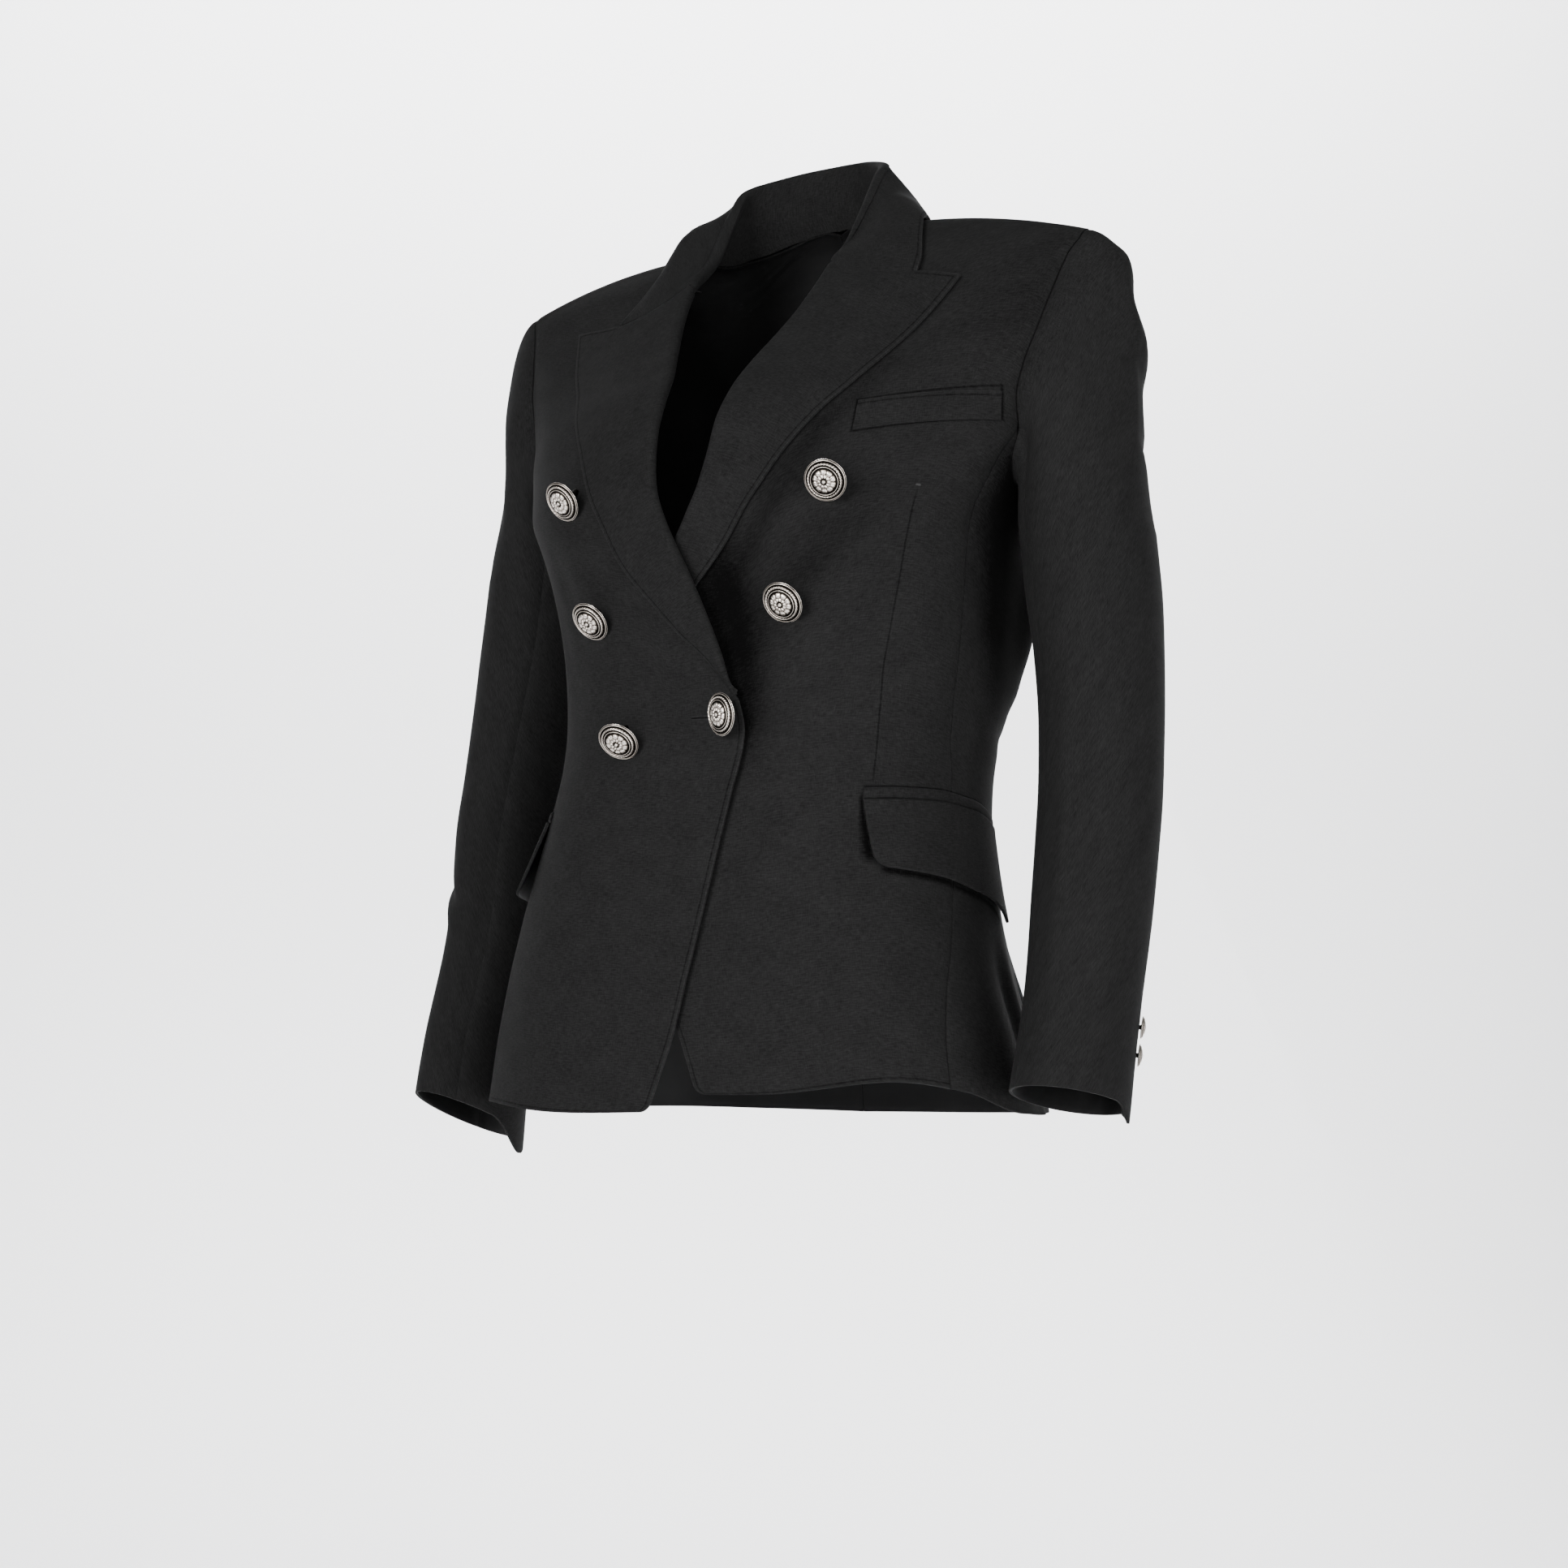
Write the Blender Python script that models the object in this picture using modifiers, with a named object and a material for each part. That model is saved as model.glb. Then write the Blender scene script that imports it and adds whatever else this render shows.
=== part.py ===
"""Fitted double-breasted jacket with peak lapels, worn open at the neck and closed with one edge button.

Metres, +Z up. The wearer faces -Y and the wearer's left is +X. The origin lies between the
two points where the shoulder seams meet the neck, at their height, where shoulders carry it.
The torso is one surface of level and angle. Each panel takes its own stretch of it, and what
lies on a panel is made from the same surface, moved out along its normal.
"""

import math
from collections import namedtuple

import bmesh
import bpy
from mathutils import Matrix, Vector

# Driving dimensions
CLOTH = 0.0020  # wall of the wool cloth with its interlining
TRIM_CLOTH = 0.0012  # jets and the breast welt
SEAM_GAP = 0.0003
SHOULDER_CLEAR = 0.00055  # each panel's share of the gap at the shoulder seam, which is a ridge
NECK_CLEAR = 0.0024  # from the collar's seam line to a panel's neck edge
ARMHOLE_CLEAR = 0.0020  # from the armhole's line to the sleeve's first row
TURN_CLEAR = 0.0009  # from a front's inner edge to the lapel's first row
SHOULDER_FALL = 1.1  # the shoulder line falls by this times the square of the way past NECK_HALF
NECK_HALF = 0.070
FALL_LEVEL = -0.170  # the shoulder's slope has died out at this level
NAPE_LIFT = 0.068  # the cloth rises this far at the middle of the back neck
NAPE_HALF = 0.110
HEM_LEVEL = -0.590  # nominal level of the hem, which each panel then bends
HEM_BEND_TOP = -0.420  # the hem's bend has died out at this level
BREAK_LEVEL = -0.323  # where the lapel begins to roll
GORGE_LEVEL = -0.036  # where the roll line crosses the gorge seam
FLUTE_DEPTH = 0.010  # soft flute in each back panel at the hem
FLUTE_ANGLE = 140.0
FLUTE_HALF = 20.0
TUCK_ANGLE = 114.0  # the hollow beside the flute
TUCK_DEPTH = 0.006
TUCK_HALF = 14.0
FLUTE_TOP = -0.400
ROLL_RADIUS = 0.0032
BREAK_RADIUS = 0.0022
LAPEL_EDGE_LIFT = 0.0030
COLLAR_EDGE_LIFT = 0.0034
COLLAR_BELLY = 0.0035  # how far the collar's fall bows out between roll and edge
COLLAR_CENTRE_Y = 0.015  # middle of the neck, front to back
FLAP_TOP_LIFT = 0.0027
FLAP_HEM_LIFT_LEFT = 0.0050
FLAP_HEM_LIFT_RIGHT = 0.0095
JET_LIFT = 0.0023
WELT_LIFT = 0.0024
BUTTON_RADIUS = 0.0138
CUFF_BUTTON_RADIUS = 0.0076
BUTTON_STEPS = 18
CUFF_BUTTON_STEPS = 12
SLEEVE_HEAD_LEVEL = -0.215  # the first section below the sleeve head
FRONT_ARM_SEAM = 125.0
BACK_ARM_SEAM = 310.0
ARM_SEAM_HALF = 0.66  # half of a sleeve seam's gap, in degrees
RIGHT_CUFF_DROP = 0.022  # how the right sleeve hangs differently from the left
RIGHT_CUFF_OUT = 0.018
RIGHT_CUFF_NARROW = 0.09
RIGHT_CUFF_PITCH = -0.15
RIGHT_CUFF_TILT = 0.12
RIGHT_ELBOW_IN = 0.006  # the right sleeve is drawn in round this level
RIGHT_ELBOW_LEVEL = -0.455
RIGHT_ELBOW_HALF = 0.080
HEAD_FULLNESS = 0.72  # how far the sleeve head stands out before it turns down
HEAD_SLOPE = 0.26  # how far out the sleeve still runs where its head ends

# Torso sections: level, half width, reach to front and back, where it is widest, shift to the
# wearer's left, and the power of its superellipse
Section = namedtuple("Section", "level half_width front back middle sway power")
TORSO = (
    Section(-0.620, 0.204, 0.159, 0.124, -0.018, -0.012, 2.3),
    Section(-0.580, 0.194, 0.157, 0.120, -0.020, -0.012, 2.3),
    Section(-0.540, 0.184, 0.156, 0.116, -0.022, -0.012, 2.35),
    Section(-0.500, 0.172, 0.155, 0.112, -0.023, -0.012, 2.4),
    Section(-0.460, 0.161, 0.153, 0.106, -0.025, -0.010, 2.4),
    Section(-0.420, 0.151, 0.151, 0.098, -0.027, -0.005, 2.4),
    Section(-0.390, 0.145, 0.150, 0.092, -0.028, 0.000, 2.4),
    Section(-0.360, 0.142, 0.149, 0.088, -0.028, 0.006, 2.4),
    Section(-0.330, 0.144, 0.148, 0.090, -0.028, 0.011, 2.4),
    Section(-0.300, 0.148, 0.148, 0.098, -0.026, 0.013, 2.4),
    Section(-0.270, 0.151, 0.148, 0.104, -0.022, 0.012, 2.45),
    Section(-0.240, 0.156, 0.148, 0.108, -0.019, 0.009, 2.5),
    Section(-0.210, 0.163, 0.146, 0.110, -0.017, 0.004, 2.55),
    Section(-0.190, 0.172, 0.142, 0.110, -0.015, 0.000, 2.4),
    Section(-0.170, 0.180, 0.136, 0.109, -0.013, 0.000, 2.2),
    Section(-0.150, 0.1892, 0.129, 0.106, -0.010, 0.000, 2.0),
    Section(-0.130, 0.1923, 0.117, 0.103, -0.008, 0.000, 2.0),
    Section(-0.106, 0.2000, 0.0965, 0.098, -0.006, 0.000, 2.0),
    Section(-0.080, 0.2100, 0.0745, 0.089, -0.004, 0.000, 2.0),
    Section(-0.057, 0.2170, 0.0565, 0.075, -0.001, 0.000, 2.0),
    Section(-0.036, 0.2250, 0.0395, 0.057, 0.002, 0.000, 2.0),
    Section(-0.020, 0.2300, 0.0265, 0.043, 0.003, 0.000, 2.0),
    Section(-0.009, 0.2350, 0.0145, 0.029, 0.004, 0.000, 2.0),
    Section(-0.0025, 0.2380, 0.005, 0.016, 0.004, 0.000, 2.0),
    Section(0.000, 0.2400, -0.004, 0.004, 0.004, 0.000, 2.0),
)
# How much of NAPE_LIFT the back half takes at each level
NapeRow = namedtuple("NapeRow", "level share")
NAPE = (
    NapeRow(-0.170, 0.0),
    NapeRow(-0.100, 0.45),
    NapeRow(-0.045, 1.0),
    NapeRow(-0.020, 0.78),
    NapeRow(-0.008, 0.36),
    NapeRow(0.000, 0.0),
)
# Lines on a front, in its own x, which is positive away from the other front
Line = namedtuple("Line", "level x")
Edge = namedtuple("Edge", "level left right")
FRONT_EDGE = (
    Edge(-0.620, 0.032, 0.022),
    Edge(-0.582, 0.018, 0.009),
    Edge(-0.540, 0.004, -0.006),
    Edge(-0.497, -0.012, -0.0165),
    Edge(-0.457, -0.025, -0.0255),
    Edge(-0.418, -0.0345, -0.0345),
    Edge(-0.387, -0.0425, -0.0425),
    Edge(-0.345, -0.0520, -0.0520),
    Edge(BREAK_LEVEL, -0.0475, -0.0475),
)
ROLL_LINE = (
    Line(BREAK_LEVEL, -0.0475),
    Line(-0.314, -0.0415),
    Line(-0.285, -0.029),
    Line(-0.245, -0.010),
    Line(-0.225, 0.001),
    Line(-0.210, 0.009),
    Line(-0.190, 0.018),
    Line(-0.170, 0.023),
    Line(-0.150, 0.026),
    Line(-0.130, 0.029),
    Line(-0.110, 0.034),
    Line(-0.090, 0.042),
    Line(-0.070, 0.049),
    Line(-0.050, 0.054),
    Line(GORGE_LEVEL, 0.056),
)
NECK_FRONT = (
    Line(GORGE_LEVEL, 0.056),
    Line(-0.020, 0.064),
    Line(-0.008, 0.071),
    Line(0.000, 0.077),
)
NECK_BACK = (
    Line(-0.045, 0.0),
    Line(-0.038, 0.028),
    Line(-0.024, 0.050),
    Line(-0.009, 0.067),
    Line(0.000, 0.077),
)
LAPEL_EDGE = (
    Edge(-0.318, -0.0415, -0.0415),
    Edge(-0.300, -0.031, -0.027),
    Edge(-0.285, -0.018, -0.009),
    Edge(-0.262, 0.004, 0.014),
    Edge(-0.240, 0.025, 0.035),
    Edge(-0.225, 0.037, 0.046),
    Edge(-0.210, 0.047, 0.055),
    Edge(-0.190, 0.061, 0.069),
    Edge(-0.170, 0.073, 0.081),
    Edge(-0.150, 0.086, 0.093),
    Edge(-0.130, 0.102, 0.106),
    Edge(-0.110, 0.116, 0.117),
    Edge(-0.090, 0.129, 0.130),
    Edge(-0.065, 0.141, 0.141),
    Edge(-0.050, 0.147, 0.147),
)
# The gorge seam and the top edge of the lapel, from the roll line to the peak, on each side
Gorge = namedtuple("Gorge", "share left left_level right right_level")
GORGE = (
    Gorge(0.00, 0.056, GORGE_LEVEL, 0.056, GORGE_LEVEL),
    Gorge(0.17, 0.072, -0.0475, 0.069, -0.0460),
    Gorge(0.64, 0.118, -0.0480, 0.106, -0.0560),
    Gorge(1.00, 0.147, -0.0500, 0.147, -0.0495),
)
COLLAR_CORNER_SHARE = 0.64
# Seams down the side, as angles round the torso from the middle of the front
Seam = namedtuple("Seam", "level front back")
SIDE_SEAMS = (
    Seam(-0.620, 64.0, 120.0),
    Seam(-0.565, 67.0, 121.0),
    Seam(-0.480, 74.0, 124.0),
    Seam(-0.420, 80.0, 127.0),
    Seam(-0.375, 83.0, 128.0),
    Seam(-0.345, 79.0, 127.0),
    Seam(-0.300, 76.0, 124.0),
    Seam(-0.240, 76.5, 120.5),
    Seam(-0.150, 78.0, 118.0),
)
# The armhole, from the shoulder seam down the front, under the arm and up the back
Armhole = namedtuple("Armhole", "level angle")
ARMHOLE = (
    Armhole(0.000, 64.0),
    Armhole(-0.012, 65.0),
    Armhole(-0.033, 65.4),
    Armhole(-0.057, 67.5),
    Armhole(-0.080, 68.8),
    Armhole(-0.104, 70.8),
    Armhole(-0.126, 73.5),
    Armhole(-0.146, 77.0),
    Armhole(-0.168, 82.0),
    Armhole(-0.184, 89.0),
    Armhole(-0.190, 98.0),
    Armhole(-0.184, 107.0),
    Armhole(-0.168, 114.0),
    Armhole(-0.145, 118.0),
    Armhole(-0.115, 116.5),
    Armhole(-0.085, 114.5),
    Armhole(-0.055, 113.0),
    Armhole(-0.030, 113.0),
    Armhole(-0.012, 114.5),
    Armhole(0.000, 116.0),
)
# Level of the hem round each side, by angle
Hem = namedtuple("Hem", "angle left right")
HEM = (
    Hem(-14.0, -0.571, -0.579),
    Hem(20.0, -0.569, -0.584),
    Hem(50.0, -0.561, -0.581),
    Hem(70.0, -0.568, -0.583),
    Hem(88.0, -0.583, -0.587),
    Hem(120.0, -0.588, -0.592),
    Hem(180.0, -0.594, -0.594),
)
# How far the left front lies inside the right one where they lap
Lap = namedtuple("Lap", "level depth")
LAP = (
    Lap(-0.620, 0.0045),
    Lap(-0.400, 0.0050),
    Lap(-0.335, 0.0095),
    Lap(-0.230, 0.0095),
    Lap(-0.150, 0.0),
)
LAP_INNER = 0.030  # full depth inside this x, none past LAP_OUTER
LAP_OUTER = 0.085
# Arm sections: level and place of the middle, half sizes, and how the ring tips to the front
Arm = namedtuple("Arm", "level x y half_x half_y pitch")
SLEEVE = (
    Arm(SLEEVE_HEAD_LEVEL, 0.2105, 0.015, 0.0400, 0.0530, 0.00),
    Arm(-0.250, 0.2155, 0.013, 0.0400, 0.0510, 0.00),
    Arm(-0.290, 0.2206, 0.009, 0.0385, 0.0490, -0.02),
    Arm(-0.343, 0.2255, 0.002, 0.0367, 0.0470, -0.06),
    Arm(-0.395, 0.2275, -0.006, 0.0360, 0.0465, -0.10),
    Arm(-0.450, 0.2273, -0.016, 0.0350, 0.0460, -0.15),
    Arm(-0.515, 0.2260, -0.029, 0.0330, 0.0445, -0.20),
    Arm(-0.573, 0.2237, -0.043, 0.0335, 0.0460, -0.24),
)
# The collar, from its end at the gorge to the middle of the back: neck seam and outer edge as
# places on the torso, with the edge's x on each side, and the top of its roll as a point
Collar = namedtuple("Collar", "share seam_level seam_x edge_level left right roll_x roll_y roll_z")
COLLAR = (
    Collar(0.00, -0.0360, 0.0560, -0.0510, 0.118, 0.106, 0.0520, -0.0400, -0.0360),
    Collar(0.12, -0.0260, 0.0610, -0.0380, 0.117, 0.097, 0.0530, -0.0260, -0.0210),
    Collar(0.26, -0.0130, 0.0685, -0.0180, 0.111, 0.090, 0.0540, -0.0110, -0.0010),
    Collar(0.42, 0.0000, 0.0770, 0.0000, 0.100, 0.090, 0.0555, 0.0070, 0.0240),
    Collar(0.60, -0.0130, 0.0630, -0.0200, 0.091, 0.087, 0.0555, 0.0250, 0.0460),
    Collar(0.80, -0.0330, 0.0370, -0.0420, 0.056, 0.056, 0.0360, 0.0500, 0.0570),
    Collar(0.90, -0.0420, 0.0185, -0.0525, 0.028, 0.028, 0.0185, 0.0595, 0.0605),
    Collar(1.00, -0.0450, 0.0000, -0.0560, 0.000, 0.000, 0.0000, 0.0620, 0.0610),
)
COLLAR_SHOULDER = 0.42  # the share past which the collar lies on the back
# Hip pocket: levels of the opening and of the flap's hem, by angle, on the wearer's left
Pocket = namedtuple("Pocket", "angle mouth flap_hem")
POCKET = (
    Pocket(50.0, -0.3800, -0.4280),
    Pocket(62.0, -0.3805, -0.4310),
    Pocket(76.0, -0.3815, -0.4350),
    Pocket(92.0, -0.3890, -0.4450),
    Pocket(108.0, -0.4000, -0.4640),
)
POCKET_DROP_RIGHT = 0.014
JET_HEIGHT = 0.0060
FLAP_FRONT_SLANT = 3.5  # degrees that the flap's front edge leans back at its hem
WELT_START_X = 0.1090
WELT_END_X = 0.1790
WELT_START_TOP = -0.1410
WELT_END_TOP = -0.1290
WELT_HEIGHT = 0.0200
# Front buttons: which front they are sewn on, or lie on, and their own x and level
Fastener = namedtuple("Fastener", "name side x level")
BUTTONS = (
    Fastener("button_right_top", -1, 0.0955, -0.189),
    Fastener("button_right_middle", -1, 0.0665, -0.268),
    Fastener("button_right_low", -1, 0.0400, -0.348),
    Fastener("button_left_top", 1, 0.1000, -0.193),
    Fastener("button_left_middle", 1, 0.0750, -0.268),
    Fastener("button_edge", -1, -0.0360, -0.334),
)
CUFF_BUTTON_STATIONS = (("upper", 0.86), ("lower", 0.905))
CUFF_BUTTON_ANGLE = 326.0

# Colours, linear
WOOL = (0.0075, 0.0075, 0.0085, 1.0)
SILVER = (0.42, 0.41, 0.39, 1.0)


def smooth(rows, key, value, at):
    """Monotone cubic through the rows' (key, value) pairs, held level past the ends."""
    xs = [getattr(row, key) for row in rows]
    ys = [getattr(row, value) for row in rows]
    if xs[0] > xs[-1]:
        xs.reverse()
        ys.reverse()
    if at <= xs[0]:
        return ys[0]
    if at >= xs[-1]:
        return ys[-1]
    steps = [b - a for a, b in zip(xs, xs[1:])]
    slopes = [(b - a) / step for a, b, step in zip(ys, ys[1:], steps)]
    i = max(k for k in range(len(steps)) if xs[k] <= at)

    def tangent(k):
        if k == 0:
            return slopes[0]
        if k == len(steps):
            return slopes[-1]
        before, after = slopes[k - 1], slopes[k]
        if before * after <= 0:
            return 0.0
        wide, narrow = 2 * steps[k] + steps[k - 1], steps[k] + 2 * steps[k - 1]
        return (wide + narrow) / (wide / before + narrow / after)

    t = (at - xs[i]) / steps[i]
    h = steps[i]
    return (
        (1 + 2 * t) * (1 - t) ** 2 * ys[i]
        + t * (1 - t) ** 2 * h * tangent(i)
        + t * t * (3 - 2 * t) * ys[i + 1]
        + t * t * (t - 1) * h * tangent(i + 1)
    )


def lerp(a, b, t):
    return a + (b - a) * t


def ease(value, start, end):
    """0 before start, 1 after end, smooth between."""
    t = min(1.0, max(0.0, (value - start) / (end - start)))
    return t * t * (3 - 2 * t)


def bump(value, centre, half):
    """A soft hill of height 1 over centre, gone half away."""
    way = abs(value - centre) / half
    return 0.0 if way >= 1 else 0.5 + 0.5 * math.cos(math.pi * way)


def spread(start, end, count):
    return [lerp(start, end, i / (count - 1)) for i in range(count)]


def signed_power(value, power):
    return math.copysign(abs(value) ** power, value)


def torso(side, level, angle):
    """Point of the torso's surface. side is 1 on the wearer's left, angle runs from the front."""
    half_width = smooth(TORSO, "level", "half_width", level)
    front = smooth(TORSO, "level", "front", level)
    back = smooth(TORSO, "level", "back", level)
    middle = smooth(TORSO, "level", "middle", level)
    sway = smooth(TORSO, "level", "sway", level)
    power = 2 / smooth(TORSO, "level", "power", level)
    turn = math.radians(angle)
    across = signed_power(math.sin(turn), power)
    along = signed_power(math.cos(turn), power)
    flare = ease(level, FLUTE_TOP, HEM_LEVEL)
    push = flare * (
        FLUTE_DEPTH * bump(abs(angle), FLUTE_ANGLE, FLUTE_HALF)
        - TUCK_DEPTH * bump(abs(angle), TUCK_ANGLE, TUCK_HALF)
    )
    x = side * (half_width + push) * across
    y = middle - (front + middle) * along if along > 0 else middle - (back - middle + push) * along
    z = level
    past_neck = max(0.0, abs(x) - NECK_HALF)
    z -= SHOULDER_FALL * past_neck**2 * max(0.0, 1 - level / FALL_LEVEL)
    if along < 0:
        z += NAPE_LIFT * smooth(NAPE, "level", "share", level) * bump(abs(x), 0, NAPE_HALF)
    return Vector((x + sway, y, z))


def lapped(side, level, angle):
    """Torso point of a front, with the left one drawn in where the right one covers it."""
    point = torso(side, level, angle)
    if side < 0:
        return point
    depth = smooth(LAP, "level", "depth", level)
    return point + Vector((0, depth * (1 - ease(point.x, LAP_INNER, LAP_OUTER)), 0))


def normal_of(surface, side, level, angle):
    """Outward normal of a surface of level and angle."""
    step = 0.0015
    turn = 0.5
    low = max(level - step, TORSO[0].level)
    high = min(level + step, TORSO[-1].level)
    up = surface(side, high, angle) - surface(side, low, angle)
    round_ = surface(side, level, angle + turn) - surface(side, level, angle - turn)
    return (round_.cross(up) * side).normalized()


def lifted(surface, side, level, angle, lift):
    return surface(side, level, angle) + normal_of(surface, side, level, angle) * lift


def side_name(side):
    return "left" if side > 0 else "right"


def angle_of(side, level, x, back=False):
    """Angle round the torso of a place given by its own x."""
    half_width = smooth(TORSO, "level", "half_width", level)
    sway = smooth(TORSO, "level", "sway", level) * side
    power = smooth(TORSO, "level", "power", level) / 2
    share = max(-1.0, min(1.0, (x - sway) / half_width))
    angle = math.degrees(math.asin(signed_power(share, power)))
    return 180.0 - angle if back else angle


def bent_level(side, level, angle):
    """Level with the hem's own line worked in near the bottom."""
    hem = smooth(HEM, "angle", side_name(side), angle)
    share = 1 - ease(level, HEM_LEVEL, HEM_BEND_TOP)
    return level + (hem - HEM_LEVEL) * share


def armhole_halves():
    """The armhole's rows as its front and back stretches, split at the lowest one."""
    lowest = min(range(len(ARMHOLE)), key=lambda i: ARMHOLE[i].level)
    return ARMHOLE[: lowest + 1], ARMHOLE[lowest:]


ARMHOLE_FRONT, ARMHOLE_BACK = armhole_halves()
SIDE_TOP = -0.205  # the side panel's rows are level up to here
FRONT_JOINT = -0.149  # level where the front side seam meets the armhole
BACK_JOINT = -0.145


def side_edge(level, joint, armhole_rows, seam):
    """Angle of a panel's outer edge: the armhole above the joint, the side seam below it."""
    if level >= joint:
        return smooth(armhole_rows, "level", "angle", level)
    return smooth(SIDE_SEAMS, "level", seam, level)


def inset(metres):
    """Angle of a short way along the torso, whose mean radius is about 0.14 m."""
    return math.degrees(metres / 0.14)


# Meshes


def clear_scene():
    for obj in list(bpy.data.objects):
        bpy.data.objects.remove(obj, do_unlink=True)


def new_collection(name):
    made = bpy.data.collections.new(name)
    bpy.context.scene.collection.children.link(made)
    return made


def new_material(name, colour, roughness, metallic):
    made = bpy.data.materials.new(name)
    made.use_nodes = True
    shader = made.node_tree.nodes["Principled BSDF"]
    shader.inputs["Base Color"].default_value = colour
    shader.inputs["Roughness"].default_value = roughness
    shader.inputs["Metallic"].default_value = metallic
    made.diffuse_color = colour
    return made


def sheet(name, grid, outward, material, thickness=CLOTH):
    """A wall of cloth: a loft through rows of points, thickened about its middle."""
    width = len(grid[0])
    points = [point for row in grid for point in row]
    faces = []
    for r in range(len(grid) - 1):
        for c in range(width - 1):
            low = r * width + c
            high = low + width
            faces.append((low, low + 1, high + 1, high))
    mesh = bpy.data.meshes.new(name)
    mesh.from_pydata(points, [], faces)
    middle = mesh.polygons[len(faces) // 2]
    if middle.normal.dot(outward) < 0:
        mesh.flip_normals()
    mesh.shade_smooth()
    obj = bpy.data.objects.new(name, mesh)
    PARTS.objects.link(obj)
    mesh.materials.append(material)
    wall = obj.modifiers.new("wall", "SOLIDIFY")
    wall.thickness = thickness
    wall.offset = 0
    wall.use_even_offset = True
    return obj


# Panels

PANEL_LEVELS = (
    [HEM_LEVEL, -0.560, -0.525, -0.490, -0.455, -0.425, -0.400, -0.375, -0.350, BREAK_LEVEL]
    + [-0.300, -0.275, -0.250, -0.225, -0.205, -0.187, -0.168, FRONT_JOINT, -0.130, -0.110]
    + [-0.090, -0.070, -0.052, GORGE_LEVEL, -0.024, -0.013, -0.005, 0.0]
)


def front_inner_x(side, level):
    """Own x of a front's inner edge: front edge, roll line, then neck seam."""
    if level <= BREAK_LEVEL:
        return smooth(FRONT_EDGE, "level", side_name(side), level)
    if level <= GORGE_LEVEL:
        return smooth(ROLL_LINE, "level", "x", level)
    return smooth(NECK_FRONT, "level", "x", level) + NECK_CLEAR


def front_panel(side):
    grid = []
    for level in PANEL_LEVELS:
        start = angle_of(side, level, front_inner_x(side, level) + SEAM_GAP)
        end = side_edge(level, FRONT_JOINT, ARMHOLE_FRONT, "front") - inset(SEAM_GAP)
        row = []
        for angle in spread(start, end, 12):
            point = lapped(side, bent_level(side, level, angle), angle)
            row.append(point - shoulder_clear(level))
        grid.append(row)
    sheet("front_" + side_name(side), grid, Vector((0, -1, 0)), WOOL_MATERIAL)


def shoulder_clear(level):
    """Way back from the shoulder seam for the top rows of the panels that meet there."""
    return Vector((0, SHOULDER_CLEAR * ease(level, -0.02, 0), 0))


def back_panel(side):
    grid = []
    levels = [BACK_JOINT if level == FRONT_JOINT else level for level in PANEL_LEVELS]
    for level in levels:
        start = side_edge(level, BACK_JOINT, ARMHOLE_BACK, "back") + inset(SEAM_GAP)
        end = 180.0 - inset(SEAM_GAP)
        if level > NECK_BACK[0].level:
            neck = smooth(NECK_BACK, "level", "x", level) + NECK_CLEAR
            end = angle_of(side, level, neck, back=True)
        row = []
        for angle in spread(start, end, 9):
            point = torso(side, bent_level(side, level, angle), angle)
            row.append(point + shoulder_clear(level))
        grid.append(row)
    sheet("back_" + side_name(side), grid, Vector((0, 1, 0)), WOOL_MATERIAL)


def underarm_level(angle):
    """Level of the armhole's lower stretch at an angle."""
    rows = [row for row in ARMHOLE if row.level <= BACK_JOINT]
    return smooth(rows, "angle", "level", angle)


def side_angle(level, share):
    """Angle of a place across the side panel."""
    front = smooth(SIDE_SEAMS, "level", "front", level) + inset(SEAM_GAP)
    back = smooth(SIDE_SEAMS, "level", "back", level) - inset(SEAM_GAP)
    return lerp(front, back, share)


def side_panel(side):
    below = [level for level in PANEL_LEVELS if level <= SIDE_TOP]
    grid = []
    for level in below:
        row = []
        for angle in [side_angle(level, share) for share in spread(0, 1, 6)]:
            row.append(torso(side, bent_level(side, level, angle), angle))
        grid.append(row)
    for rise in (0.33, 0.66, 1.0):
        row = []
        for share in spread(0, 1, 6):
            level = SIDE_TOP
            for _ in range(3):
                top = underarm_level(side_angle(level, share)) - SEAM_GAP
                level = lerp(SIDE_TOP, top, rise)
            row.append(torso(side, level, side_angle(level, share)))
        grid.append(row)
    sheet("side_panel_" + side_name(side), grid, Vector((side, 0, 0)), WOOL_MATERIAL)


# Lapels and collar


def gorge_place(side, share):
    """Own x and level of a place along the gorge."""
    name = side_name(side)
    return smooth(GORGE, "share", name, share), smooth(GORGE, "share", name + "_level", share)


def roll_profile(radius):
    """Ways inwards and lifts of the turned cloth at the roll line, from the front's own layer."""
    turns = [math.radians(a) for a in (-90, -45, 0, 45, 90)]
    return [
        (radius * math.cos(turn) + TURN_CLEAR, radius * (1 + math.sin(turn))) for turn in turns
    ]


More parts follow.
